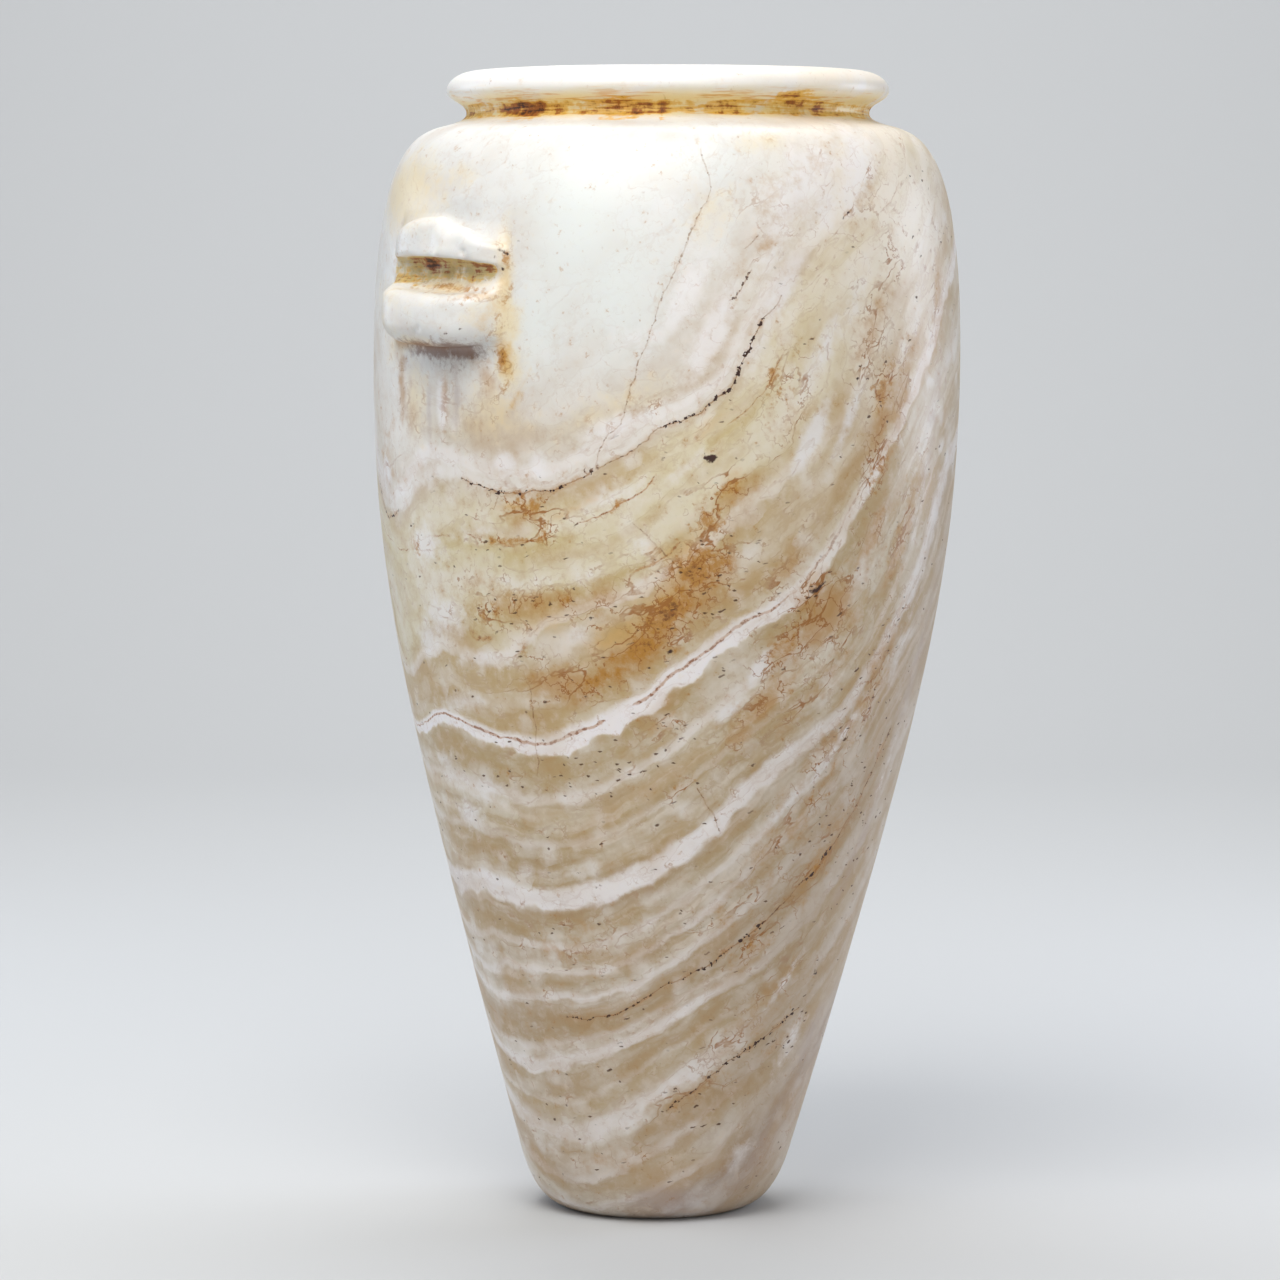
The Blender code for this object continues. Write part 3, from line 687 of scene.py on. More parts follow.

# %% [markdown]
# ## Stains laid one by one
#
# Iron and clay soaked in along cracks while the jar lay buried. No rule says where, so each stain is laid as
# one soft patch: its place, half its length and width, its slope on the wall, and how strong it is. One kind
# is no stain alone: it is painted shadow below the lugs' lower lobes, in a lug's groove and in the groove
# under the rim, with a brown stain in it. The material later breaks these patches up with fine noise. All
# kinds go on as attributes.

# %% Patches: (heading, height, half length, half width, slope in degrees, strength)
PATCHES = {
    "ochre": [
        (-28, 237, 9, 3.2, 0, 0.8), (-24, 230, 3, 5, 0, 0.5), (-32, 225, 12, 1.2, 0, 0.8),
        (-24, 227, 3, 2.5, 0, 0.8), (-8, 239, 12, 1.2, 35, 0.5), (12, 243, 4.5, 3.2, 40, 0.85),
        (8, 232, 4, 6, 30, 0.7), (9, 236, 3, 3, 0, 0.6), (6, 217, 9, 6, 40, 1.1),
        (0, 203, 10, 5, 30, 1.15), (-5, 192, 9, 4, 30, 0.95), (-12, 183, 12, 4, 25, 0.6),
        (20, 278, 3.2, 1.5, 70, 0.9), (45, 273, 9, 3.5, 72, 0.9), (44, 247, 9, 4, 72, 0.7),
        (30, 210, 5, 3, 40, 0.65), (26, 193, 10, 4, 42, 0.5), (-32.4, 282, 5, 2.4, 105, 0.85),
        (-32.4, 304, 9, 0.9, 96, 0.45), (-31.6, 276, 6, 1.6, 70, 0.6), (-32.6, 296, 8, 1.2, 95, 0.5),
        (-31.2, 303, 4, 1.0, 80, 0.5), (-34, 290, 4, 1.4, 60, 0.5), (-31.8, 314, 5, 1.6, 90, 0.6),
        (-33.5, 320, 4, 1.2, 70, 0.4), (-36, 302, 5, 3, 0, 0.5), (-44, 304.5, 18, 1.6, -3, 0.6),
        (-55, 313, 8, 1.6, 0, 0.6), (-38, 202, 6, 5, 0, 0.45), (-22, 206, 9, 2.5, 5, 0.45),
        (38, 141, 5, 1.2, 10, 0.6), (4, 147, 7, 2.2, 15, 0.5), (-59, 222, 2.5, 2.5, 30, 0.7),
        (-15, 199, 2, 2, 0, 0.6), (-30, 190, 7, 2, -5, 0.45), (22, 275, 14, 5, 62, 0.35),
        (-36, 150, 8, 2, 0, 0.3), (27, 95, 6, 2, 35, 0.6), (43, 118, 6, 2, 60, 0.5),
        (96, 250, 10, 4, 60, 0.6), (118, 190, 14, 3, 40, 0.6), (150, 230, 9, 5, 10, 0.7),
        (-140, 150, 12, 3, -35, 0.6), (-170, 260, 8, 4, -20, 0.6), (170, 120, 10, 3, 10, 0.5),
        (-110, 220, 10, 4, -30, 0.7),
    ],
    "yellow": [
        (-32.6, 303, 13, 2.6, 88, 0.5), (-32.2, 283, 7, 3.4, 100, 1.0), (-29.5, 270, 8, 1.4, 60, 0.6),
        (-36, 302, 7, 1.6, 0, 0.7), (-46, 304.6, 14, 1.2, -3, 0.6), (-34.5, 295, 5, 2.6, 70, 0.7),
        (20, 278, 4, 1.8, 70, 0.9), (12, 243, 6, 4, 40, 0.6), (-18, 236, 12, 1.4, 25, 0.7),
        (-30, 236, 10, 1.6, 0, 0.6), (8, 262, 10, 2.4, 45, 0.5), (3, 222, 12, 7, 45, 0.65),
        (-10, 196, 14, 6, 20, 0.7), (-24, 200, 12, 5, 5, 0.5), (-2, 206, 12, 7, 30, 0.6),
        (44, 270, 10, 2.4, 72, 0.6), (-60, 296, 3, 8, 0, 0.5), (30, 214, 6, 2, 45, 0.5),
        (120, 250, 14, 4, 40, 0.5), (-150, 240, 14, 4, -30, 0.5),
    ],
    "tan": [
        (34, 202, 14, 9, 48, 1.1), (-12, 206, 14, 8, 15, 0.5), (24, 216, 12, 5, 40, 0.6),
        (30, 128, 24, 7, 45, 0.45), (24, 62, 20, 7, 40, 0.45), (64, 300, 22, 5, 78, 0.5),
        (42, 292, 22, 6, 66, 0.6), (50, 268, 24, 6, 72, 0.6), (54, 228, 26, 6, 72, 0.6),
        (42, 214, 18, 6, 60, 0.55), (50, 176, 30, 7, 66, 0.6), (38, 156, 24, 5, 52, 0.5),
        (44, 120, 26, 6, 58, 0.55), (30, 172, 16, 4, 45, 0.5), (36, 78, 20, 5, 45, 0.5),
        (20, 108, 20, 5, 30, 0.35), (-4, 268, 10, 3, 20, 0.3), (20, 320, 14, 3, 45, 0.4),
        (-22, 180, 16, 6, 5, 0.9), (-28, 205, 22, 6, 5, 0.7), (-5, 192, 18, 7, 35, 0.95),
        (5, 212, 16, 9, 40, 1.0), (26, 193, 14, 6, 42, 0.7), (22, 175, 16, 5, 42, 0.8),
        (16, 162, 6, 5, 20, 0.55), (30, 208, 12, 6, 45, 0.8), (44, 225, 14, 5, 65, 0.7),
        (45, 262, 22, 5, 72, 0.7), (18, 332, 12, 7, 30, 0.4), (30, 344, 14, 5, 40, 0.35),
        (48, 313, 20, 5, 75, 0.45), (43, 332, 12, 6, 60, 0.35), (-28, 234, 14, 5, 0, 0.6),
        (12, 240, 12, 6, 35, 0.6), (-70, 250, 12, 10, 90, 0.4), (-66, 306, 4, 24, 0, 0.3),
        # the patches at -61/289, -50/286.6 and -57/287 darken the worn lug's lower lobe underneath: partly
        # dirt, partly painted shade
        (-61, 289, 8, 3.4, -8, 1.1), (-50, 286.6, 14, 1.8, 0, 0.9), (-62, 274, 3, 14, 0, 0.8),
        (-36, 276, 4, 8, 30, 0.7), (-47, 270, 2.4, 10, 0, 0.6), (-57, 287, 5, 2.4, 20, 0.6),
        (-58, 266, 6, 12, 0, 0.5), (-38, 266, 8, 8, 0, 0.35), (-60, 322, 6, 10, 90, 0.3),
        (28, 94, 12, 4, 35, 0.5), (46, 62, 12, 3, 40, 0.5), (-22, 22, 16, 4, 5, 0.4),
        (10, 45, 18, 5, 25, 0.5), (36, 180, 20, 5, 50, 0.5), (0, 168, 12, 4, 30, 0.5),
        (-42, 212, 14, 5, 0, 0.4), (24, 262, 14, 5, 55, 0.45), (40, 195, 18, 4, 55, 0.5),
        (-30, 92, 24, 6, 5, 0.4), (-20, 100, 24, 5, 5, 0.35), (110, 240, 26, 7, 50, 0.6),
        (150, 290, 26, 8, 0, 0.5), (-150, 200, 26, 8, -40, 0.6), (-120, 260, 22, 8, -35, 0.6),
        (180, 160, 30, 8, -5, 0.6), (120, 120, 26, 6, 40, 0.5),
    ],
    "cream": [
        (-67, 335, 14, 26, 85, 0.9), (-33.5, 319, 9, 4, 90, 0.45), (-32.0, 300, 24, 3.0, 91, 0.9),
        (-57, 270, 8, 16, 0, 0.7), (-36, 268, 10, 10, 0, 0.6), (-64, 286, 8, 12, 90, 0.6),
        # the patches at -58/289, -60/293, -50/288 and -55/291 tint the worn lug's lower lobe khaki
        # underneath: partly dirt, partly painted shade
        (-58, 289, 6, 4, 0, 0.9), (-60, 293, 10, 6, 0, 0.9), (-50, 288, 12, 2.4, 0, 0.8),
        (-32, 307, 7, 4.5, 80, 0.6), (-31.5, 294, 8, 5.5, 100, 0.9), (-31, 279, 9, 6, 80, 0.85),
        (-32.5, 266, 8, 5, 95, 0.6), (-36, 296, 5, 6, 0, 0.7), (-55, 291, 10, 4, 0, 0.7),
        (-46, 306, 20, 4, 0, 0.8), (-62, 300, 9, 30, 90, 0.6), (-36, 262, 26, 7, 0, 0.5),
        (-10, 268, 26, 6, 25, 0.5), (8, 327, 12, 8, 40, 0.5), (-47, 340, 10, 5, 0, 0.5),
        (20, 350, 16, 4, 0, 0.5), (100, 320, 30, 14, 30, 0.5), (-130, 330, 30, 14, -20, 0.5),
        (160, 335, 30, 10, 0, 0.4),
    ],
    "chalk": [
        (-52, 200, 16, 9, 5, 0.75), (-42, 186, 18, 4, 5, 0.55), (-50, 172, 16, 4, 5, 0.6),
        (-48, 142, 14, 5, 0, 0.5), (-56, 222, 12, 8, 0, 0.8), (-32, 250, 5, 3.6, 0, 1.0),
        (-25, 249, 3.6, 4.5, 0, 1.0), (-59, 192, 9, 6, 15, 0.8), (-55, 135, 8, 5, 0, 0.8),
        (-18, 196, 5, 4, 20, 0.75), (-5, 289, 14, 6, 0, 0.5), (-72, 245, 6, 7, 60, 0.8),
        (14, 172, 7, 2.4, 38, 0.9), (20, 186, 8, 2.6, 55, 0.9), (28, 258, 15, 3.6, 62, 1.0),
        (-10, 262, 14, 4, 20, 0.8), (8, 290, 22, 5, 62, 0.9), (3, 302, 18, 5, 62, 0.8),
        (21, 302, 16, 5, 60, 0.8), (32, 330, 14, 5, 50, 0.7), (-62, 152, 8, 3, 5, 0.7),
        (60, 190, 22, 2, 72, 0.45), (66, 150, 18, 2, 72, 0.45), (50, 60, 12, 4, 70, 0.65),
        (36, 22, 8, 4, 50, 0.5), (-48, 267, 10, 3, 90, 0.9), (30, 285, 22, 4, 62, 0.65),
        (38, 300, 20, 4, 66, 0.5), (16, 285, 14, 4, 62, 0.6), (36, 262, 20, 2.6, 66, 0.7),
        (-45, 262, 6, 4, 0, 0.6), (56, 300, 24, 3, 76, 0.4), (60, 240, 24, 2.4, 76, 0.4),
        (26, 345, 12, 4, 80, 0.6), (28, 338, 26, 10, 40, 0.75), (42, 343, 24, 9, 60, 0.75),
        (20, 316, 16, 5, 55, 0.6), (-5, 225, 5, 4, 20, 0.6), (-16, 214, 8, 3, 10, 0.6),
        (40, 80, 14, 2, 60, 0.6), (42, 158, 22, 2.2, 55, 0.7), (30, 140, 22, 2.0, 50, 0.6),
        (-45, 145, 8, 4, 0, 0.6), (-30, 118, 30, 3, 2, 0.4), (-40, 227, 14, 4, 5, 0.55),
        (-30, 211, 16, 3.4, 5, 0.5), (-12, 239, 15, 5, 20, 0.6), (4, 250, 12, 3, 35, 0.5),
    ],
    "lilac": [
        (2, 8, 14, 5, 5, 0.9), (-44, 270, 2.4, 12, 0, 0.8), (-52, 266, 2.0, 12, 0, 0.6),
        (70, 180, 30, 5, 75, 0.6), (60, 120, 24, 5, 70, 0.5), (62, 60, 16, 5, 70, 0.6),
        (45, 20, 14, 6, 60, 0.5), (-70, 110, 12, 20, 85, 0.4), (62, 260, 26, 5, 78, 0.5),
        (110, 60, 20, 8, 40, 0.5), (20, 30, 16, 5, 30, 0.4), (-10, 110, 30, 5, 12, 0.3),
    ],
    # painted shadow below the lugs' lower lobes, in a lug's groove and under the rim, partly a brown stain
    "painted_shadow_and_stain": [
        (-55, 285.4, 9, 2.2, 0, 0.9), (-49, 285, 11, 3.2, 0, 1.0), (-42, 285, 10, 3.4, 0, 1.0),
        (-44, 280, 12, 2, 0, 0.45), (-52, 287.6, 14, 1.8, 0, 0.5), (-50, 311, 8, 3.0, -2, 0.5),
        (132, 283, 18, 3, 0, 0.5), (40, 361.5, 13, 2.2, 0, 0.6),
    ],
    "clear": [
        (-18, 325, 18, 30, 0, 1.0), (-10, 305, 14, 22, 0, 0.9), (-25, 295, 12, 14, 0, 0.8),
        (-8, 345, 34, 8, 0, 0.7), (50, 352, 34, 6, 0, 0.4), (-150, 340, 30, 12, 0, 0.5),
        (120, 345, 30, 10, 0, 0.4),
    ],
    # soot in the groove under the rim; the lugs' grooves add dirt and painted shade to this kind further on
    "soot_and_groove_shade": [
        (-43, 360.8, 14, 4, 0, 0.9), (-38, 361.2, 5, 4, 0, 0.5), (-13, 361, 10, 4, 0, 0.85),
        (-18, 361, 3, 4, 0, 0.5), (-1.5, 361, 1.6, 4, 0, 1.1), (36, 364.5, 10, 2.5, 0, 0.9),
        (44, 362, 12, 2.5, 0, 0.6), (10, 361, 14, 2.5, 0, 0.3), (100, 361, 26, 4, 0, 0.7),
        (140, 361, 14, 4, 0, 0.5), (-130, 361, 26, 4, 0, 0.8), (-90, 361, 20, 4, 0, 0.5),
    ],
    "pitting": [
        (-35, 152, 20, 7, 3, 0.7), (-15, 152, 16, 7, 10, 1.0), (0, 160, 10, 8, 20, 0.9),
        (32, 206, 10, 5, 45, 0.9), (6, 212, 16, 12, 30, 0.8), (-25, 205, 22, 9, 5, 0.6),
        (58, 150, 18, 8, 60, 0.8), (60, 120, 18, 8, 60, 0.8), (45, 60, 14, 6, 45, 0.9),
        (22, 42, 16, 6, 30, 0.8), (-35, 30, 14, 8, 0, 0.6), (44, 262, 26, 5, 72, 0.8),
        (30, 330, 14, 4, 50, 0.4), (-31, 315, 4, 6, 0, 0.9), (50, 180, 30, 7, 65, 0.6),
        (40, 130, 18, 6, 50, 0.6), (120, 200, 40, 20, 40, 0.7), (-140, 160, 40, 20, -30, 0.7),
    ],
}
PATCH_DEPTH = 9.0
GROOVE_DEPTH, GROOVE_FADE = 4.4, 2.4
GROOVE_FOOT, GROOVE_TOP = 303, 316.5
GROOVE_HALF = 28
GROOVE_BLOTCH = 7
OTHER_GROOVE = 0.6


def painted(patches):
    """How strongly the patches cover each point of the jar, from 0 up."""
    cover = np.zeros(len(points))
    for heading, height, half_length, half_width, slope, strength in patches:
        centre = on_wall(heading, height)
        turn = radians(heading) + CAMERA_HEADING
        sideways = np.array([-sin(turn), cos(turn), 0])
        outwards = np.array([cos(turn), sin(turn), 0])
        up = np.array([0, 0, 1.0])
        tilt = radians(slope)
        length_way = sideways * cos(tilt) + up * sin(tilt)
        width_way = up * cos(tilt) - sideways * sin(tilt)
        apart = points - centre
        spread = (apart @ length_way / half_length) ** 2 + (apart @ width_way / half_width) ** 2
        spread += (apart @ outwards / (PATCH_DEPTH + half_length)) ** 2
        cover = np.maximum(cover, strength * np.exp(-spread))
    return cover


def groove_back(facing):
    """Dirt and painted shade in a lug's open groove: 1 at the top of its back, under the upper lobe, and
    fading down and outwards.
    """
    deep = points[:, 0] * facing - np.sqrt(np.maximum(0, wall_radius(points[:, 2]) ** 2 - points[:, 1] ** 2))
    deep -= lean(points[:, 2]) * cos(VIEW_TURN) * facing
    inside = np.clip((GROOVE_DEPTH - deep) / GROOVE_FADE, 0, 1) * (points[:, 0] * facing > 0)
    downwards = np.clip((points[:, 2] - GROOVE_FOOT) / 9, 0, 1)
    downwards *= np.clip((GROOVE_TOP - points[:, 2]) / 1.5, 0, 1)
    endwards = np.clip((GROOVE_HALF - abs(points[:, 1])) / 3, 0, 1)
    blotches = np.array([noise.noise(Vector(point) / GROOVE_BLOTCH) for point in points])
    return inside * downwards * endwards * (0.8 + 0.9 * blotches)


# The lugs' grooves add dirt and painted shade to these kinds, darkest at the top of the back under the upper
# lobe.
in_grooves = np.maximum(groove_back(-1), OTHER_GROOVE * groove_back(1))
keep_on_mesh("groove", in_grooves)
GROOVE_SHARES = {"soot_and_groove_shade": 1.3, "tan": 0.7, "cream": 1.6, "ochre": 0.5, "pitting": 2.5}
for kind, patches in PATCHES.items():
    cover = painted(patches)
    cover = np.maximum(cover, in_grooves * GROOVE_SHARES.get(kind, 0))
    keep_on_mesh(kind, cover)
print("painted", {kind: len(patches) for kind, patches in PATCHES.items()})

# %% [markdown]
# ## Cracks drawn as lines
#
# The open cracks are black with dirt and too thin for a painted patch, because the mesh is coarser
# than they are. What can be kept on the mesh is how far each point lies to one side of the nearest
# crack. That number changes evenly across each face, so the material finds the line itself very
# finely, and a thickness is kept with it.

# %% Cracks: (thickness in mm, darkness, then (heading, height) along it)
CRACKS = [
    (0.4, 1.0, [(-79, 240), (-77, 235), (-73, 229), (-70, 230), (-67, 232)]),
    (0.5, 1.0, [(-42, 244), (-37, 242), (-33, 240), (-29, 240), (-25, 241), (-21, 242),
                (-17, 245), (-13, 248)]),
    (0.16, 0.6, [(-13, 248), (-7, 254), (-2, 261)]),
    (0.55, 1.0, [(-2, 261), (6, 266), (12, 274), (13, 278)]),
    (0.6, 1.0, [(13, 278), (14, 282), (18, 295)]),
    (0.16, 0.5, [(18, 295), (21, 301)]),
    (0.4, 0.9, [(32, 321), (37, 328)]),
    (0.35, 0.5, [(15, 318), (19, 323)]),
    (0.35, 0.7, [(12, 302), (15, 309)]),
    (1.5, 1.2, [(7.6, 251.8), (8.6, 251.4)]),
    (0.9, 1.2, [(6.2, 257), (6.6, 256)]),
    (0.8, 1.2, [(-1.1, 252), (-1.2, 250.5)]),
    (0.8, 1.2, [(-1.3, 247.4), (-1.4, 246.4)]),
    (1.1, 1.2, [(54, 83), (54.4, 82)]),
    (0.9, 1.2, [(-15.2, 201), (-14.6, 200.8)]),
    (1.0, 1.2, [(43.4, 57.6), (44, 57.4)]),
    (1.0, 1.2, [(5.3, 40), (5.8, 39.8)]),
    (0.8, 1.2, [(-21.8, 21.8), (-21.2, 21.8)]),
    (1.1, 1.2, [(30, 209), (31, 210)]),
    (0.7, 1.2, [(33, 212.5), (33.4, 212)]),
    (0.8, 1.2, [(-4, 186), (-3.4, 186.4)]),
    (0.9, 1.2, [(0.6, 190.5), (1.4, 191)]),
    (0.7, 1.2, [(38, 276), (38.4, 275.4)]),
    (0.7, 1.2, [(41, 260), (41.4, 259)]),
    (0.6, 1.2, [(50, 248), (50.3, 247.4)]),
    (0.28, 0.3, [(7, 347), (8, 336), (5, 325), (2, 313), (-2, 298), (-5, 285), (-7, 273),
                 (-9, 262), (-13, 255), (-14, 248)]),
    (0.2, 0.3, [(-6, 231), (-2, 225), (2, 218)]),
    (0.25, 0.4, [(8, 146), (12, 139), (14, 133)]),
    (0.2, 0.35, [(-30, 178), (-29, 165), (-30, 152)]),
    (0.35, 0.75, [(-29, 70), (-22, 69.5), (-12, 72.5), (0, 80), (12, 87.5)]),
    (0.75, 0.95, [(12, 87.5), (23, 96), (28, 101)]),
    (0.22, 0.6, [(28, 101), (34, 107), (39, 113)]),
    (0.75, 0.95, [(39, 113), (43, 118), (47, 124)]),
    (0.25, 0.6, [(47, 124), (55, 139), (62, 162)]),
    (0.4, 0.75, [(5, 40), (15, 48), (23, 54)]),
    (0.7, 0.95, [(23, 54), (35, 62), (49, 70)]),
    (0.4, 0.9, [(-0.7, 362, -6), (-1.5, 366, -4)]),
    (0.6, 1.2, [(-33.4, 316.6, 0), (-33.2, 315.9, 8)]),
    (0.5, 1.2, [(-32.0, 315.2, 0), (-31.8, 314.7, 8)]),
    (0.45, 1.2, [(-33.6, 314.3, 0), (-33.4, 313.9, 8)]),
    (0.4, 1.2, [(-30.6, 311.6, 0), (-30.4, 311.2, 0)]),
    (0.5, 1.2, [(-31.5, 312.6, 0), (-31.7, 312.2, 6)]),
    (0.5, 1.2, [(-32.6, 310.4, 0), (-32.8, 310, 6)]),
    (0.5, 1.2, [(-40.9, 290.5, 10.5), (-40.5, 290.7, 10.5)]),
    (0.35, 1.2, [(-38.2, 291.8, 9), (-37.9, 291.9, 9)]),
    (0.3, 0.8, [(-40.5, 324.4, 4), (-36.8, 324, 4)]),
    (0.4, 0.7, [(100, 262), (112, 250), (124, 252), (138, 236), (150, 236), (165, 225)]),
    (0.4, 0.7, [(-150, 118), (-135, 112), (-120, 92), (-104, 86)]),
    (0.25, 0.3, [(178, 350), (172, 320), (176, 290), (170, 262)]),
]


def beside_cracks(cracks, bound=20.0):
    """Each point's offset to the side of the nearest crack, its distance, thickness and darkness."""
    nearest = np.full(len(points), bound)
    offset = np.full(len(points), bound)
    thickness = np.zeros(len(points))
    darkness = np.zeros(len(points))
    for thick, dark, crack in cracks:
        line = on_wall(*np.array(crack, float).T)
        for first, last in zip(line, line[1:]):
            way = last - first
            apart = points - first
            share = np.clip(apart @ way / (way @ way), 0, 1)
            outwards = np.array([first[0], first[1], 0])
            side_way = np.cross(outwards, way)
            side_way /= np.linalg.norm(side_way)
            distance = np.linalg.norm(apart - share[:, None] * way, axis=1)
            closer = distance < nearest
            nearest[closer] = distance[closer]
            offset[closer] = (apart @ side_way)[closer]
            thickness[closer] = thick
            darkness[closer] = dark
    return offset, nearest, thickness, darkness


for name, values in zip(("crack_offset", "crack_distance", "crack_thickness", "crack_darkness"),
                        beside_cracks(CRACKS)):
    keep_on_mesh(name, values)
print(len(CRACKS), "cracks drawn")

# %% [markdown]
# ## White veins with hanging knobs
#
# The white veins start along a nearly smooth line on their older side and end in rounded knobs on the
# other, where crystals grew out in fans. The strength of the knobs is kept on the mesh, so that only
# the lower edges of veins turn toothed. Round to the right the whole stone turns paler and milkier, and
# the veins melt into it, so that change is kept on the mesh as well.

# %% Veins: (age of the smooth edge, age of the toothed edge, how white)
VEINS = [
    (351, 345, 0.35), (292, 287, 0.45), (255.4, 246, 0.92), (229, 224, 0.35), (209, 205, 0.3),
    (188, 179.5, 0.68), (166, 162, 0.35), (154, 150.5, 0.4), (142.5, 138.5, 0.4), (120, 117, 0.3),
    (113.5, 107.5, 0.55), (96, 93, 0.25), (86, 79, 0.45), (66, 62, 0.3), (50, 46, 0.4),
]
PALE_HEADINGS = (14, 44, 80, 120)
KNOB_BAND = 4.5
KNOBS_ANYWHERE = 0.25
knobs = sum(strength * np.exp(-((ages - toothed) / KNOB_BAND) ** 2) for _, toothed, strength in VEINS)
headings = np.degrees(np.arctan2(points[:, 1], points[:, 0]) - CAMERA_HEADING)
headings = (headings + 180) % 360 - 180
pale = np.interp(headings, PALE_HEADINGS, [0, 1, 1, 0])
keep_on_mesh("knobs", KNOBS_ANYWHERE + knobs)
keep_on_mesh("pale", pale)
print(len(VEINS), "veins,", int((pale > 0.5).sum()), "points on the pale side")

# %% [markdown]
# ## The stone
#
# The jar is calcite travertine, ground and rubbed to a satin polish. It is slightly see-through, so
# light softens inside it: cloudy cream and white layers, greenish where they are clear, with pores and
# open seams filled with brown iron. The pattern runs through the whole block, so nearly everything
# reads Object coordinates in millimetres and the age of the layers; only the stains are patches.
#
# The tree grows in small steps. Each step notes its coats, a colour and how much of it covers what
# lies below, and the last step lays all coats over the colour of the layers in that order. A ramp gives
# the value where a coat begins to show and the value where it shows in full, and after them, where
# they aren't 0 and 1, how much it covers at each.

# %% Places in millimetres, and the numbers that the mesh carries
stone_tree = stone.node_tree
stone_tree.nodes.clear()
coats = []
place = add(stone_tree, "ShaderNodeTexCoord", out="Object")
here = add(stone_tree, VECTOR, [place, (1 / MM, 1 / MM, 1 / MM)], operation="MULTIPLY")
east, north, height = add(stone_tree, AXES, [here], out=None)
kept = {name: add(stone_tree, "ShaderNodeAttribute", out="Fac", attribute_name=name) for name in on_mesh}


def lay(code, *covers):
    """Notes a coat: its colour, and the shares whose product says how much it covers."""
    cover = covers[0]
    for further in covers[1:]:
        cover = add(stone_tree, MATH, [cover, further], operation="MULTIPLY")
    coats.append((code, cover))


print("the mesh carries", ", ".join(kept))

# %% [markdown]
# The age that the mesh carries changes too smoothly for real layers. Two noises bend it before it looks
# up a colour: one makes every edge wander by a few millimetres, and one hangs rounded knobs below the
# veins. The colour ramp then goes through the block from the youngest layer to the oldest. A ramp takes
# 32 stops at most, so the block is split between two ramps.

# %% The layers' edges crinkle, and knobs hang from the veins
CRINKLE_SIZE = 9
CRINKLE_DEPTH = 7.0
FAN_SIZE = 9
FAN_DEPTH = 5.5
crinkle = add(stone_tree, NOISE, {"Vector": here, "Scale": 1 / CRINKLE_SIZE, "Detail": 4, "Roughness": 0.55})
crinkled = add(stone_tree, MATH, [crinkle, 0.5], operation="SUBTRACT")
line_age = add(stone_tree, MATH, [crinkled, CRINKLE_DEPTH, kept["age"]], operation="MULTIPLY_ADD")
fan = add(stone_tree, CELLS, {"Vector": here, "Scale": 1 / FAN_SIZE}, "Distance")
hollowed = add(stone_tree, MATH, [fan, fan, -0.35], operation="MULTIPLY_ADD")
knob_depth = add(stone_tree, MATH, [kept["knobs"], FAN_DEPTH], operation="MULTIPLY")
layer_age = add(stone_tree, MATH, [hollowed, knob_depth, line_age], operation="MULTIPLY_ADD")
print("edges wander", CRINKLE_DEPTH / 2, "mm each way")

# %% Colours of the layers by age
LAYERS = [
    (480, "e6e6e4"), (404, "e4e5e4"), (380, "e4e3df"), (368, "dfdad2"), (357, "d8cfc0"), (350, "e2dcd3"),
    (341, "e6e0d8"), (339, "cfc0a6"), (331, "dacda9"), (326, "e2d8bd"), (318, "d6c798"), (308, "e0d5b8"),
    (301, "dfd3b0"), (297, "cebb8b"), (291, "dfd1b5"), (287, "cbb78e"), (280, "c6ae82"), (272, "cab38a"),
    (264, "c0a474"), (257, "c9b48b"), (253, "dccdb4"), (252, "ede4d8"), (246.5, "e9decf"), (245, "b9a276"),
    (238, "bca67c"), (231, "c2ae8b"), (225, "d2c4ac"), (216, "cbbb9c"), (206, "bfaa84"), (200, "bca680"),
    (194, "c4b08e"), (190, "bea884"), (187.5, "e0d6ca"), (179.5, "dcd1c5"), (178, "b49c78"),
    (170, "bba784"), (163, "cdbfab"), (157, "c3b197"), (152, "cdbfab"), (147, "bdab8e"), (141, "d0c4b4"),
    (134, "bca98f"), (129, "b39c7b"), (124, "b29a76"), (117, "cabaa5"), (110, "d6ccbf"), (108.5, "bba685"),
    (98, "bba585"), (91, "c2af8f"), (87, "cdbfab"), (78, "d2c6b6"), (76, "bca688"), (66, "bba588"),
    (57, "c8b79d"), (50, "cebfaa"), (40, "bfae9c"), (32, "af9e94"), (20, "c1b0a3"), (0, "cebfab"),
    (-20, "bba784"), (-60, "cebfac"),
]
LAYER_SPLIT = 192.0
young = [layer for layer in LAYERS[::-1] if layer[0] < LAYER_SPLIT]
old = [layer for layer in LAYERS[::-1] if layer[0] > LAYER_SPLIT]
halves = []
for part in (young, old):
    first_age, last_age = part[0][0], part[-1][0]
    share = add(stone_tree, RANGE, [layer_age, first_age, last_age])
    ramp = add(stone_tree, "ShaderNodeValToRGB", [share])
    stops = ramp.node.color_ramp.elements
    for stop_age, code in part[1:-1]:
        stops.new((stop_age - first_age) / (last_age - first_age)).color = linear(code)
    stops[0].color = linear(part[0][1])
    stops[len(stops) - 1].color = linear(part[-1][1])
    halves.append(ramp)
side = add(stone_tree, RANGE, [layer_age, young[-1][0], old[0][0]], **SMOOTH)
layer_colour = add(stone_tree, "ShaderNodeMix", {0: side, 6: halves[0], 7: halves[1]}, 2, data_type="RGBA")
print(len(LAYERS), "layer colours")

# %% [markdown]
# Between the layers' edges calcite is milky where its crystals are small and glassy where they are
# large. That is what gives polished travertine its depth. It is drawn at three scales: clouds that lie
# along the layers, fine laminae in the pinkish beds, and rounded grains with small blotches between
# them. The rim and the oldest layers are dense and even, so they stay calm.

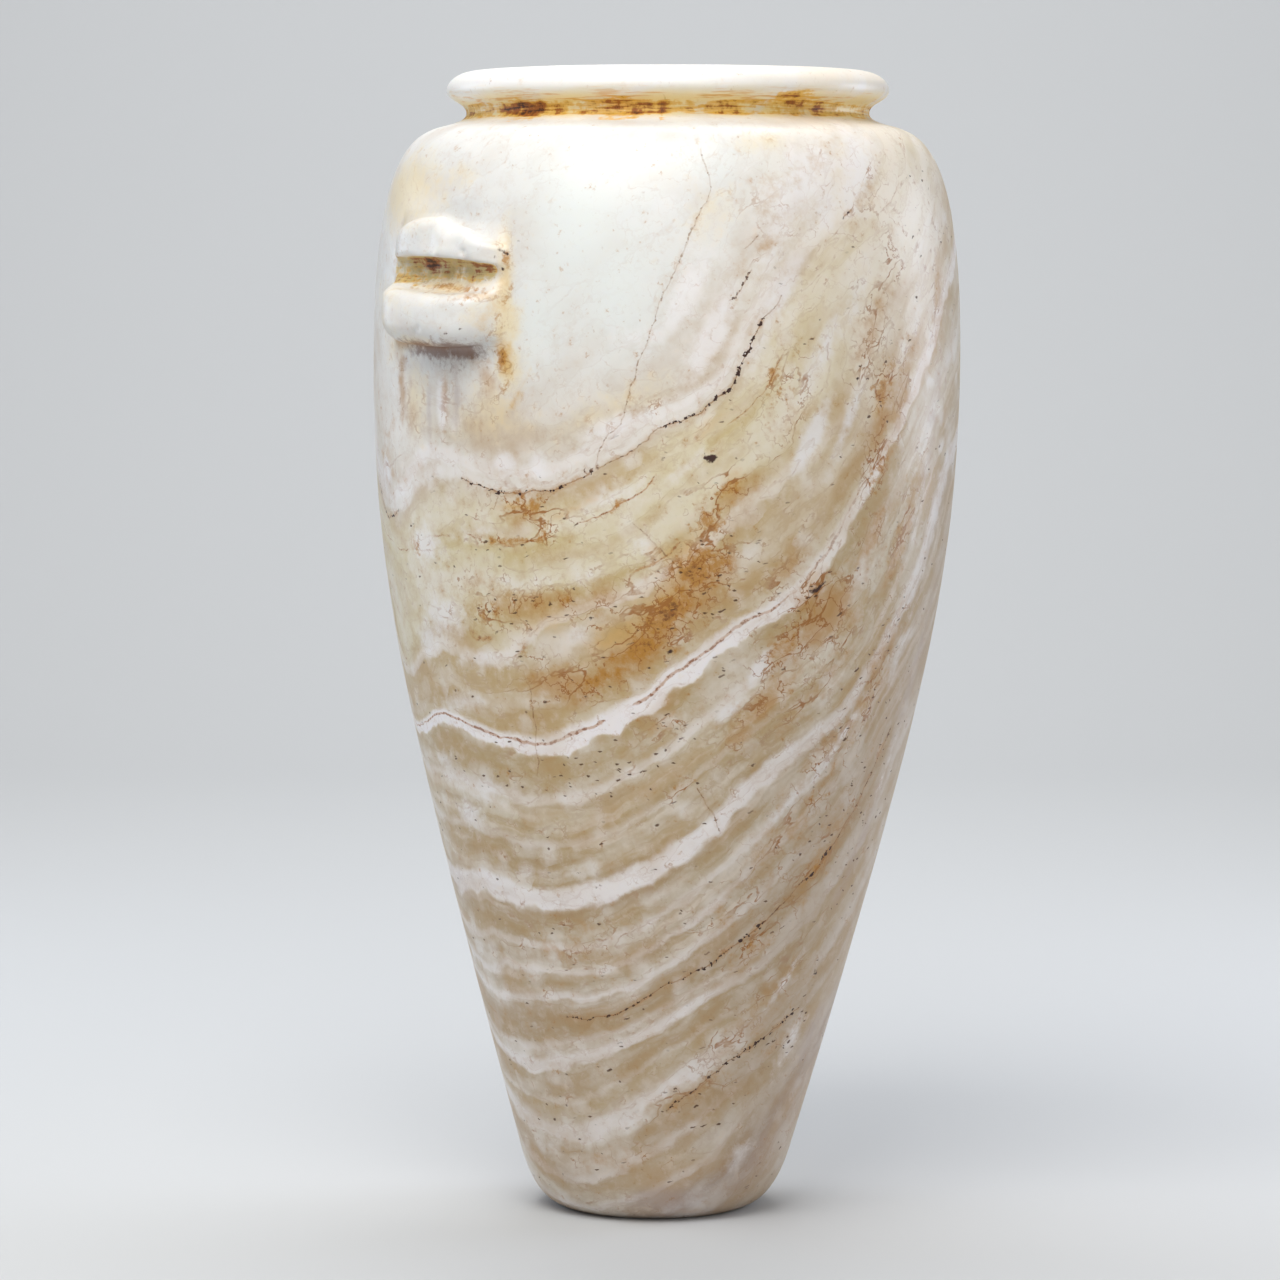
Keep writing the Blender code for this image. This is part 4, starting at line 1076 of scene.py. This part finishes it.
# %% The oldest layers and the rim are dense and even; the rest is busy
OLD_STONE = (330, 390)
RIM_FOOT = (359, 366)
clear = add(stone_tree, MATH, [kept["clear"], 0.95], operation="MULTIPLY")
old_stone = add(stone_tree, RANGE, [kept["age"], *OLD_STONE, 0.0, 0.55], **SMOOTH)
rim = add(stone_tree, RANGE, [height, *RIM_FOOT, 0.0, 0.85], **SMOOTH)
denser = add(stone_tree, MATH, [clear, old_stone], operation="MAXIMUM")
dense = add(stone_tree, MATH, [denser, rim], operation="MAXIMUM")
calm = add(stone_tree, MATH, [1.0, dense], operation="SUBTRACT")
print("dense from age", OLD_STONE[0], "and from", RIM_FOOT[0], "mm up")

# %% Milky and glassy calcite in clouds that lie along the layers
CLOUD_LENGTH = 24
CLOUD_THICKNESS = 8
across_layers = TILT_OF_LAYERS / (TILT_OF_LAYERS @ TILT_OF_LAYERS)
squeeze = tuple(across_layers * (1 / CLOUD_THICKNESS - 1 / CLOUD_LENGTH))
long_way = add(stone_tree, VECTOR, [here, (1 / CLOUD_LENGTH,) * 3], operation="MULTIPLY")
cloud_place = add(stone_tree, VECTOR, [layer_age, squeeze, long_way], operation="MULTIPLY_ADD")
cloud = add(stone_tree, NOISE, {"Vector": cloud_place, "Scale": 1, "Detail": 4, "Roughness": 0.45})
GLASSY_RAMP = (0.58, 0.26, 0.0, 0.46)
glassy = add(stone_tree, RANGE, [cloud, *GLASSY_RAMP], **SMOOTH)
MILKY_RAMP = (0.42, 0.74, 0.0, 0.5)
milky = add(stone_tree, RANGE, [cloud, *MILKY_RAMP], **SMOOTH)
lay("b78b50", glassy, calm)
lay("ede6e0", milky, calm)
print("clouds", CLOUD_LENGTH, "by", CLOUD_THICKNESS, "mm")

# %% Faint laminae in the pinkish beds
LAMINA = 3.2
BEDDED = (125, 140, 220, 240)
begins = add(stone_tree, RANGE, [kept["age"], BEDDED[0], BEDDED[1]], **SMOOTH)
ends = add(stone_tree, RANGE, [kept["age"], BEDDED[3], BEDDED[2], 0.0, 0.4], **SMOOTH)
bedded = add(stone_tree, MATH, [begins, ends], operation="MULTIPLY")
LAMINA_LENGTH = 40
thin = tuple(across_layers * (1 / LAMINA - 1 / LAMINA_LENGTH))
lamina_way = add(stone_tree, VECTOR, [here, (1 / LAMINA_LENGTH,) * 3], operation="MULTIPLY")
lamina_place = add(stone_tree, VECTOR, [line_age, thin, lamina_way], operation="MULTIPLY_ADD")
lamina = add(stone_tree, NOISE, {"Vector": lamina_place, "Scale": 1, "Detail": 2, "Roughness": 0.5})
LIGHTER_RAMP = (0.50, 0.70)
lighter = add(stone_tree, RANGE, [lamina, *LIGHTER_RAMP], **SMOOTH)
DARKER_RAMP = (0.48, 0.30)
darker = add(stone_tree, RANGE, [lamina, *DARKER_RAMP], **SMOOTH)
lay("ebe0d4", lighter, bedded)
lay("ad8f63", darker, bedded)
print("laminae about", LAMINA, "mm apart")

# %% Milky grains, rounded and soft, with glassy stone between them
GRAIN_SIZE = 8
GRAIN_BEND = (7, -6, 6.5)
bent_place = add(stone_tree, VECTOR, [crinkle, GRAIN_BEND, here], operation="MULTIPLY_ADD")
grain = add(stone_tree, CELLS, {"Vector": bent_place, "Scale": 1 / GRAIN_SIZE}, None)
grain_tone = add(stone_tree, AXES, [grain["Color"]])
ROUNDED_RAMP = (0.64, 0.10)
rounded = add(stone_tree, RANGE, [grain["Distance"], *ROUNDED_RAMP], **SMOOTH)
CHOSEN_GRAIN_RAMP = (0.45, 0.90, 0.0, 0.42)
chosen_grain = add(stone_tree, RANGE, [grain_tone, *CHOSEN_GRAIN_RAMP], **SMOOTH)
milky_grain = add(stone_tree, MATH, [rounded, chosen_grain], operation="MULTIPLY")
lay("f3f0ee", milky_grain, calm)
print("grains of", GRAIN_SIZE, "mm")

# %% Small soft blotches, which also break up the stains further on
BLOTCH_SIZE = 5
elsewhere = add(stone_tree, VECTOR, [here, (310, -170, 90)], operation="ADD")
blotch = {"Vector": elsewhere, "Scale": 1 / BLOTCH_SIZE, "Detail": 5, "Roughness": 0.62}
spread = add(stone_tree, NOISE, blotch)
swing = add(stone_tree, MATH, [spread, 0.5], operation="SUBTRACT")
WHITER_RAMP = (0.48, 0.72, 0.0, 0.24)
whiter = add(stone_tree, RANGE, [spread, *WHITER_RAMP], **SMOOTH)
lay("f4efec", whiter, calm)
DULLER_RAMP = (0.52, 0.30, 0.0, 0.22)
duller = add(stone_tree, RANGE, [spread, *DULLER_RAMP], **SMOOTH)
lay("b88c52", duller, calm)
print("blotches of", BLOTCH_SIZE, "mm")

# %% [markdown]
# The white veins lie over the clouds, milky and nearly even. Then come the broad differences that are placed
# one by one: the clear greenish zone on the shoulder, the side where everything pales, and the cream, chalk
# and lilac patches.

# %% The veins
present = add(stone_tree, MATH, [kept["pale"], -0.75, 1.0], operation="MULTIPLY_ADD")
MILKINESS_RAMP = (0.30, 0.62, 0.55, 1.0)
milkiness = add(stone_tree, RANGE, [cloud, *MILKINESS_RAMP], **SMOOTH)
present = add(stone_tree, MATH, [present, milkiness], operation="MULTIPLY")
for smooth_edge, toothed_edge, strength in VEINS:
    soft_edge = [line_age, smooth_edge + 1.6, smooth_edge - 1.6, 0.0, strength]
    upper_side = add(stone_tree, RANGE, soft_edge, **SMOOTH)
    lower_side = add(stone_tree, RANGE, [layer_age, toothed_edge - 0.6, toothed_edge + 1.2], **SMOOTH)
    inside = add(stone_tree, MATH, [upper_side, lower_side], operation="MULTIPLY")
    lay("f7f2f3", inside, present)
print(len(coats), "coats so far")

# %% The clear zone, the pale side, warm cream washes, chalky knobs and lilac streaks
lay("e8ecea", kept["clear"], 0.9)
# The rim is laid near white all round: partly its dense white stone, partly a painted highlight on the
# brightly lit top.
lay("f8f6f4", rim, 0.9)
OLD_PART_RAMP = (215, 330, 0.0, 0.9)
old_part = add(stone_tree, RANGE, [kept["age"], *OLD_PART_RAMP], **SMOOTH)
BLEACHED_RAMP = (0.25, 0.6, 0.35, 1.0)
bleached = add(stone_tree, RANGE, [cloud, *BLEACHED_RAMP], **SMOOTH)
paler = add(stone_tree, MATH, [kept["pale"], old_part], operation="MULTIPLY")
lay("f1e7d8", paler, bleached)
YOUNG_PART_RAMP = (215, 130, 0.0, 0.42)
young_part = add(stone_tree, RANGE, [kept["age"], *YOUNG_PART_RAMP], **SMOOTH)
lay("a3855c", kept["pale"], young_part)
WASHES = [("cream", 1.0, "e9d4a2", (0.1, 0.9, 0.0, 0.65)), ("chalk", 0.9, "f3f0f1", (0.15, 0.85, 0.0, 0.75)),
          ("lilac", -1.0, "b8a6a1", (0.15, 0.85, 0.0, 0.5))]
for kind, share_of_noise, code, ramp in WASHES:
    broken_up = add(stone_tree, MATH, [swing, share_of_noise, kept[kind]], operation="MULTIPLY_ADD")
    lay(code, add(stone_tree, RANGE, [broken_up, *ramp], **SMOOTH))
print(len(coats), "coats so far")

# %% [markdown]
# Water carried iron into the stone. It spread as a thin golden wash, gathered as ochre in the most
# porous grains, and ran as rusty threads between crystals. Each stain is the painted patch plus a noise,
# cut by a soft threshold, so that its edge breaks up in grains and its core gets darkest.

# %% Iron stains: a broad golden wash, and ochre that gathers in grains
STAIN_GRAIN = 2.4
grainy = add(stone_tree, NOISE, {"Vector": here, "Scale": 1 / STAIN_GRAIN, "Detail": 4, "Roughness": 0.7})
grained = add(stone_tree, MATH, [grainy, 0.5], operation="SUBTRACT")
washy = add(stone_tree, MATH, [swing, -1.2, kept["tan"]], operation="MULTIPLY_ADD")
WASH_RAMP = (0.15, 0.9)
wash = add(stone_tree, RANGE, [washy, *WASH_RAMP], **SMOOTH)
lay("b9853a", wash, 0.65)
golden = add(stone_tree, MATH, [swing, 1.5, kept["yellow"]], operation="MULTIPLY_ADD")
GOLDEN_RAMP = (0.1, 1.1, 0.0, 0.7)
lay("cf9f3e", add(stone_tree, RANGE, [golden, *GOLDEN_RAMP], **SMOOTH))
speckled = add(stone_tree, MATH, [grained, 2.2, kept["ochre"]], operation="MULTIPLY_ADD")
patchy = add(stone_tree, MATH, [swing, -1.6, speckled], operation="MULTIPLY_ADD")
OCHRE_RAMP = (0.3, 0.85, 0.0, 0.78)
lay("b67c1a", add(stone_tree, RANGE, [patchy, *OCHRE_RAMP], **SMOOTH))
BROWN_RAMP = (0.9, 1.3, 0.0, 0.85)
lay("74400c", add(stone_tree, RANGE, [patchy, *BROWN_RAMP], **SMOOTH))
print("stains gather in grains of", STAIN_GRAIN, "mm")

# %% Rusty threads that curl along contours of two noises, and painted shadow below the lugs, partly a brown stain
THREAD = (0.016, 0.004)
web = add(stone_tree, MATH, [crinkled], operation="ABSOLUTE")
curled = add(stone_tree, MATH, [cloud, 0.5], operation="SUBTRACT")
curl = add(stone_tree, MATH, [curled], operation="ABSOLUTE")
web = add(stone_tree, MATH, [web, curl], operation="MINIMUM")
soaked = add(stone_tree, MATH, [kept["tan"], 0.6, kept["ochre"]], operation="MULTIPLY_ADD")
soaking = add(stone_tree, MATH, [swing, 1.6, soaked], operation="MULTIPLY_ADD")
THREADED_RAMP = (0.0, 0.6, 0.10, 0.9)
threaded = add(stone_tree, RANGE, [soaking, *THREADED_RAMP], **SMOOTH)
thread = add(stone_tree, RANGE, [web, *THREAD], **SMOOTH)
rusty = add(stone_tree, MATH, [thread, threaded], operation="MULTIPLY")
lay("9f6420", rusty, calm)
# Painted shadow below the lugs' lower lobes, mottled by the grain, with a brown stain in it.
painted_shadow_and_stain_mask = add(stone_tree, MATH, [grained, 1.5, kept["painted_shadow_and_stain"]], operation="MULTIPLY_ADD")
PAINTED_SHADOW_RAMP = (0.15, 0.8, 0.0, 0.8)
lay("78492a", add(stone_tree, RANGE, [painted_shadow_and_stain_mask, *PAINTED_SHADOW_RAMP], **SMOOTH))
print(len(coats), "coats so far")

# %% [markdown]
# Travertine is full of small voids, and dirt makes them dark. The single pores are cells of a pattern,
# flattened so that they lie along the layers. Open seams follow one age exactly, and the drawn cracks
# follow their line on the mesh; both are filled in beads, as dirt fills a crack.

# %% Pores: short dark dashes where the pitting patches are, a few elsewhere
PORE = 2.6
PORE_HEIGHT = 1.1
flatten = (1 / PORE, 1 / PORE, 1 / PORE_HEIGHT)
flattened = add(stone_tree, VECTOR, [bent_place, flatten], operation="MULTIPLY")
pores = add(stone_tree, CELLS, {"Vector": flattened, "Scale": 1}, None)
pore_tone = add(stone_tree, AXES, [pores["Color"]])
pore_tone = add(stone_tree, MATH, [dense, -0.16, pore_tone], operation="MULTIPLY_ADD")
luck = add(stone_tree, MATH, [kept["pitting"], 0.24, pore_tone], operation="MULTIPLY_ADD")
CHOSEN_PORE_RAMP = (0.95, 1.00)
chosen_pore = add(stone_tree, RANGE, [luck, *CHOSEN_PORE_RAMP], **SMOOTH)
ROUND_PORE_RAMP = (0.36, 0.18)
round_pore = add(stone_tree, RANGE, [pores["Distance"], *ROUND_PORE_RAMP], **SMOOTH)
calm_pore = add(stone_tree, MATH, [chosen_pore, calm], operation="MULTIPLY")
pore = add(stone_tree, MATH, [round_pore, calm_pore], operation="MULTIPLY")
lay("553009", pore, 0.9)
print("pores", PORE, "mm apart")

# %% Open seams along single layers, filled in beads
SEAMS = [(252.4, 0.6, 0.38), (322, 0.3, 0.5), (129, 0.3, 0.52), (296, 0.3, 0.56), (20, 0.4, 0.55)]
BEAD = 1.5
SEAM_STRETCH = 20
beads = add(stone_tree, NOISE, {"Vector": here, "Scale": 1 / BEAD, "Detail": 2, "Roughness": 0.6})
stretch = add(stone_tree, NOISE, {"Vector": here, "Scale": 1 / SEAM_STRETCH, "Detail": 2, "Roughness": 0.5})
seam = 0.0
for seam_age, width, opened in SEAMS:
    off = add(stone_tree, MATH, [line_age, seam_age], operation="SUBTRACT")
    aside = add(stone_tree, MATH, [off], operation="ABSOLUTE")
    filled = add(stone_tree, RANGE, [stretch, opened - 0.06, opened + 0.08, 0.0, width], **SMOOTH)
    edge = add(stone_tree, MATH, [aside, filled], operation="SUBTRACT")
    line = add(stone_tree, RANGE, [edge, 0.4, -0.3], **SMOOTH)
    shown = add(stone_tree, RANGE, [filled, 0.02, 0.2], **SMOOTH)
    held = add(stone_tree, MATH, [line, shown], operation="MULTIPLY")
    seam = add(stone_tree, MATH, [seam, held], operation="MAXIMUM")
in_seam = add(stone_tree, MATH, [seam, present], operation="MULTIPLY")
DOTS_RAMP = (0.50, 0.60, 0.0, 0.9)
dots = add(stone_tree, RANGE, [beads, *DOTS_RAMP], **SMOOTH)
lay("b5731e", in_seam, 0.6)
lay("8a4c12", in_seam, dots)
print(len(SEAMS), "seams")

# %% How the drawn cracks run: they drift a little, and their filling swells into beads
CRACK_DRIFT = 4.5
LINE_OR_SPOT = 1.1
drifting = add(stone_tree, MATH, [crinkled, CRACK_DRIFT, kept["crack_offset"]], operation="MULTIPLY_ADD")
beside = add(stone_tree, MATH, [drifting], operation="ABSOLUTE")
darkness = kept["crack_darkness"]
thickness = kept["crack_thickness"]
past_end = add(stone_tree, MATH, [kept["crack_distance"], thickness], operation="SUBTRACT")
NEAR_RAMP = (2.0, 1.0)
near = add(stone_tree, RANGE, [past_end, *NEAR_RAMP], **SMOOTH)
is_line = add(stone_tree, MATH, [darkness, LINE_OR_SPOT], operation="LESS_THAN")
is_spot = add(stone_tree, MATH, [1.0, is_line], operation="SUBTRACT")
near_line = add(stone_tree, MATH, [near, is_line], operation="MULTIPLY")
SWOLLEN_RAMP = (0.42, 0.66, -0.9, 1.4)
swollen = add(stone_tree, RANGE, [beads, *SWOLLEN_RAMP], **SMOOTH)
thick = add(stone_tree, MATH, [thickness, swollen], operation="MULTIPLY")
crack_edge = add(stone_tree, MATH, [beside, thick], operation="SUBTRACT")
OPEN_LINE_RAMP = (0.12, -0.1)
open_line = add(stone_tree, RANGE, [crack_edge, *OPEN_LINE_RAMP], **SMOOTH)
crack_line = add(stone_tree, MATH, [open_line, near_line], operation="MULTIPLY")
ragged = add(stone_tree, MATH, [grained, 2.0, kept["crack_distance"]], operation="MULTIPLY_ADD")
spot_edge = add(stone_tree, MATH, [ragged, thickness], operation="SUBTRACT")
OPEN_SPOT_RAMP = (0.25, -0.25)
open_spot = add(stone_tree, RANGE, [spot_edge, *OPEN_SPOT_RAMP], **SMOOTH)
crack_spot = add(stone_tree, MATH, [open_spot, is_spot], operation="MULTIPLY")
crack = add(stone_tree, MATH, [crack_line, crack_spot], operation="MAXIMUM")
print("cracks drift", CRACK_DRIFT / 2, "mm each way")

# %% Colours of the cracks: a rusty halo, a hairline, and dark filling
HALO = (2.0, 0.3)
HAIRLINE = (0.34, 0.08)
haloed = add(stone_tree, RANGE, [beside, *HALO], **SMOOTH)
halo_line = add(stone_tree, MATH, [haloed, near_line], operation="MULTIPLY")
HALO_LUCK_RAMP = (0.45, 0.62, 0.0, 0.5)
halo_luck = add(stone_tree, RANGE, [spread, *HALO_LUCK_RAMP], **SMOOTH)
halo_dark = add(stone_tree, MATH, [halo_luck, darkness], operation="MULTIPLY")
lay("b8863e", halo_line, halo_dark)
hair = add(stone_tree, RANGE, [beside, *HAIRLINE], **SMOOTH)
hair_line = add(stone_tree, MATH, [hair, near_line], operation="MULTIPLY")
hair_dark = add(stone_tree, MATH, [darkness, 0.55, 0.08], operation="MULTIPLY_ADD")
lay("9a6628", hair_line, hair_dark)
FILLING_RAMP = (0.4, 0.85)
filling = add(stone_tree, RANGE, [darkness, *FILLING_RAMP], **SMOOTH)
lay("8a5c2c", crack, 0.5)
lay("3a1a0c", crack, filling)
print(len(coats), "coats so far")

# %% [markdown]
# Dust and iron settled where no hand or cloth reached: in the groove below the rim, and in the open grooves
# of the lugs. It starts as a cream wash, streaks that run round where the jar was turned, and ends as dark
# rust packed into the deepest line. In the lugs' grooves the dark top of the back, under the upper lobe, is
# partly painted shade.

# %% Where the deposit sits: the groove below the rim, outside the hollow
OUTSIDE = (59, 62)
squared = add(stone_tree, MATH, [north, north], operation="MULTIPLY")
from_axis = add(stone_tree, MATH, [east, east, squared], operation="MULTIPLY_ADD")
beyond = add(stone_tree, RANGE, [from_axis, OUTSIDE[0] ** 2, OUTSIDE[1] ** 2], **SMOOTH)
deep_foot = add(stone_tree, RANGE, [height, SHOULDER_HEIGHT + 0.8, NECK_HEIGHT - 1.4], **SMOOTH)
deep_top = add(stone_tree, RANGE, [height, NECK_HEIGHT + 3.4, NECK_HEIGHT + 1.6], **SMOOTH)
deep = add(stone_tree, MATH, [deep_foot, deep_top], operation="MULTIPLY")
deepest = add(stone_tree, MATH, [deep, beyond], operation="MULTIPLY")
wash_foot = add(stone_tree, RANGE, [height, SHOULDER_HEIGHT, NECK_HEIGHT - 1.0], **SMOOTH)
wash_top = add(stone_tree, RANGE, [height, HEIGHT - 5.0, NECK_HEIGHT + 2.0], **SMOOTH)
washed_band = add(stone_tree, MATH, [wash_foot, wash_top], operation="MULTIPLY")
washed = add(stone_tree, MATH, [washed_band, beyond], operation="MULTIPLY")
print("deposit from", round(SHOULDER_HEIGHT, 1), "to", round(HEIGHT - 5.0, 1), "mm")

# %% The deposit: a cream wash, streaks that run round, and rust packed into the deepest part, with painted shade at the top of the lugs' grooves
STREAK = (1 / 12, 1 / 12, 1 / 0.9)
STRIATION = (1 / 1.5, 1 / 1.5, 1 / 5)
soot_and_groove_shade = kept["soot_and_groove_shade"]
THIN_WASH_RAMP = (0.30, 0.62, 0.2, 0.85)
thin_wash = add(stone_tree, RANGE, [cloud, *THIN_WASH_RAMP], **SMOOTH)
lay("f3da8e", washed, thin_wash)
round_neck = add(stone_tree, VECTOR, [here, STREAK], operation="MULTIPLY")
streaky = add(stone_tree, NOISE, {"Vector": round_neck, "Scale": 1, "Detail": 3, "Roughness": 0.6})
streak_luck = add(stone_tree, MATH, [soot_and_groove_shade, 0.2, streaky], operation="MULTIPLY_ADD")
STREAK_RAMP = (0.54, 0.68, 0.0, 0.85)
streak = add(stone_tree, RANGE, [streak_luck, *STREAK_RAMP], **SMOOTH)
lay("dda22e", streak, washed)
upright_place = add(stone_tree, VECTOR, [here, STRIATION], operation="MULTIPLY")
upright = add(stone_tree, NOISE, {"Vector": upright_place, "Scale": 1, "Detail": 3, "Roughness": 0.7})
depth = add(stone_tree, MATH, [deepest, 0.3], operation="MULTIPLY")
packing = add(stone_tree, MATH, [soot_and_groove_shade, 0.58, depth], operation="MULTIPLY_ADD")
striated = add(stone_tree, MATH, [upright, 0.45, packing], operation="MULTIPLY_ADD")
blotched = add(stone_tree, MATH, [swing, 1.6, striated], operation="MULTIPLY_ADD")
level_streak = add(stone_tree, MATH, [streaky, 1.3, -0.52], operation="MULTIPLY_ADD")
streaked = add(stone_tree, MATH, [blotched, level_streak], operation="ADD")
anywhere = add(stone_tree, MATH, [deepest, soot_and_groove_shade], operation="MAXIMUM")
HELD_IN_RAMP = (0.05, 0.4)
held_in = add(stone_tree, RANGE, [anywhere, *HELD_IN_RAMP], **SMOOTH)
packed_deposit_and_groove_shade = add(stone_tree, MATH, [streaked, held_in], operation="MULTIPLY")
YELLOW_CRUST_RAMP = (0.50, 0.80, 0.0, 0.82)
lay("e6b540", add(stone_tree, RANGE, [packed_deposit_and_groove_shade, *YELLOW_CRUST_RAMP], **SMOOTH))
olive = add(stone_tree, MATH, [grained, 1.6, kept["groove"]], operation="MULTIPLY_ADD")
MOTTLED_RAMP = (0.10, 0.70, 0.0, 0.85)
mottled = add(stone_tree, RANGE, [olive, *MOTTLED_RAMP], **SMOOTH)
IN_GROOVE_RAMP = (0.05, 0.30)
in_groove = add(stone_tree, RANGE, [kept["groove"], *IN_GROOVE_RAMP], **SMOOTH)
lay("c7b886", mottled, in_groove)
# In the lugs' grooves the rust and the dark crust are partly painted shade at the top of the back.
RUST_AND_GROOVE_SHADE_RAMP = (0.82, 1.08, 0.0, 0.88)
lay("9c4c08", add(stone_tree, RANGE, [packed_deposit_and_groove_shade, *RUST_AND_GROOVE_SHADE_RAMP], **SMOOTH))
DARK_CRUST_AND_GROOVE_SHADE_RAMP = (1.12, 1.30, 0.0, 0.95)
lay("40200c", add(stone_tree, RANGE, [packed_deposit_and_groove_shade, *DARK_CRUST_AND_GROOVE_SHADE_RAMP], **SMOOTH))
print(len(coats), "coats in all")

# %% [markdown]
# The coats now go over the colour of the layers one by one. Only the pores and cracks get relief,
# because the polish has levelled everything else. Rubbed calcite is satin, duller where it is stained,
# and light enters it a few millimetres, which rounds off every edge of the pattern.

# %% Lay the coats over the layers, in order
colour = layer_colour
for code, cover in coats:
    laid = {0: cover, 6: colour, 7: linear(code)}
    colour = add(stone_tree, "ShaderNodeMix", laid, 2, data_type="RGBA")
print("laid", len(coats), "coats")

# %% Relief too fine for the mesh, the satin polish, and light that softens inside the stone
sunk = add(stone_tree, MATH, [pore, crack_line], operation="MAXIMUM")
relief = add(stone_tree, MATH, [1.0, sunk], operation="SUBTRACT")
bump = add(stone_tree, "ShaderNodeBump", {"Strength": 0.5, "Distance": 0.3 * MM, "Height": relief})
CRUST_RAMP = (0.55, 0.95)
crust = add(stone_tree, RANGE, [packed_deposit_and_groove_shade, *CRUST_RAMP], **SMOOTH)
filled_dull = add(stone_tree, MATH, [sunk, crust], operation="MAXIMUM")
dull = add(stone_tree, MATH, [wash, filled_dull], operation="MAXIMUM")
satin = add(stone_tree, MATH, [cloud, 0.12, 0.31], operation="MULTIPLY_ADD")
rough = add(stone_tree, MATH, [dull, 0.2, satin], operation="MULTIPLY_ADD")
shader = add(stone_tree, "ShaderNodeBsdfPrincipled", {
    "Base Color": colour, "Roughness": rough, "Normal": bump, "IOR": 1.55, "Subsurface Weight": 0.2,
    "Subsurface Radius": (1.0, 0.8, 0.55), "Subsurface Scale": 2.0 * MM})
add(stone_tree, "ShaderNodeOutputMaterial", {"Surface": shader}, None)
print("travertine:", len(stone_tree.nodes), "nodes")

# %% [markdown]
# ## Light and floor
#
# A plain pale sweep stands in for the studio. One large soft light hangs high in front of the jar, so
# the rim and shoulder are brightest and the wall darkens slowly towards the foot. A weaker one fills
# in from the front, two cool ones behind draw a thin line down each side, and the last one lights the
# backdrop.


# %% Floor and backdrop in one sweep, in metres
SWEEP_FRONT, SWEEP_BEND, SWEEP_TOP = -3.0, 1.4, 3.5
SWEEP_ROUND = 0.8
SWEEP_HALF = 4.0


def sweep_floor():
    """A pale floor that curves up behind the jar into a plain backdrop."""
    line = [(SWEEP_FRONT, 0.0), (SWEEP_BEND, 0.0)]
    for t in np.linspace(0.05, pi / 2, 24):
        line.append((SWEEP_BEND + SWEEP_ROUND * sin(t), SWEEP_ROUND - SWEEP_ROUND * cos(t)))
    line.append((SWEEP_BEND + SWEEP_ROUND, SWEEP_TOP))
    corners = []
    for depth, up in line:
        for side in (-SWEEP_HALF, SWEEP_HALF):
            corners.append(away * depth + right * side + Vector((0, 0, up)))
    faces = [(2 * i, 2 * i + 1, 2 * i + 3, 2 * i + 2) for i in range(len(line) - 1)]
    mesh = bpy.data.meshes.new("studio_sweep")
    mesh.from_pydata([tuple(corner) for corner in corners], [], faces)
    mesh.shade_smooth()
    made = bpy.data.objects.new("studio_sweep", mesh)
    bpy.context.scene.collection.objects.link(made)
    paper = bpy.data.materials.new("matt_paper")
    paper.use_nodes = True
    paper_shader = paper.node_tree.nodes["Principled BSDF"]
    paper_shader.inputs["Base Color"].default_value = linear("cfd1d3")
    paper_shader.inputs["Roughness"].default_value = 0.9
    mesh.materials.append(paper)
    return made


def soft_light(name, place, aim, size, power, code):
    """A square area light that looks from one place towards another, in metres."""
    data = bpy.data.lights.new(name, "AREA")
    data.size = size
    data.energy = power
    data.color = linear(code)[:3]
    made = bpy.data.objects.new(name, data)
    bpy.context.scene.collection.objects.link(made)
    made.location = place
    made.rotation_euler = (aim - place).to_track_quat("-Z", "Y").to_euler()
    return made


studio = sweep_floor()
shoulder_point = Vector((0, 0, 0.30))
up = Vector((0, 0, 1))
wall_point = away * 1.7 + up * 0.3
soft_light("key", -away * 0.55 - right * 0.2 + up * 1.02, shoulder_point, 0.7, 8.6, "fffdf9")
soft_light("front", -away * 1.5 + right * 0.5 + up * 0.6, shoulder_point, 1.0, 3.6, "fffdf8")
soft_light("left_edge", away * 0.45 - right * 0.9 + up * 0.35, shoulder_point, 0.5, 2.2, "e2efff")
soft_light("right_edge", away * 0.35 + right * 0.9 + up * 0.35, shoulder_point, 0.5, 3.2, "e6eeff")
soft_light("backdrop", away * 0.9 + up * 1.9, wall_point, 1.2, 26.0, "ffffff")
world = bpy.data.worlds.new("studio")
world.use_nodes = True
world.node_tree.nodes["Background"].inputs["Color"].default_value = linear("f4f6f8")
world.node_tree.nodes["Background"].inputs["Strength"].default_value = 0.22
bpy.context.scene.world = world
bpy.context.scene.view_settings.view_transform = "Standard"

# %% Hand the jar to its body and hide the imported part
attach(jar, "root")
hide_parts("stone_jar")
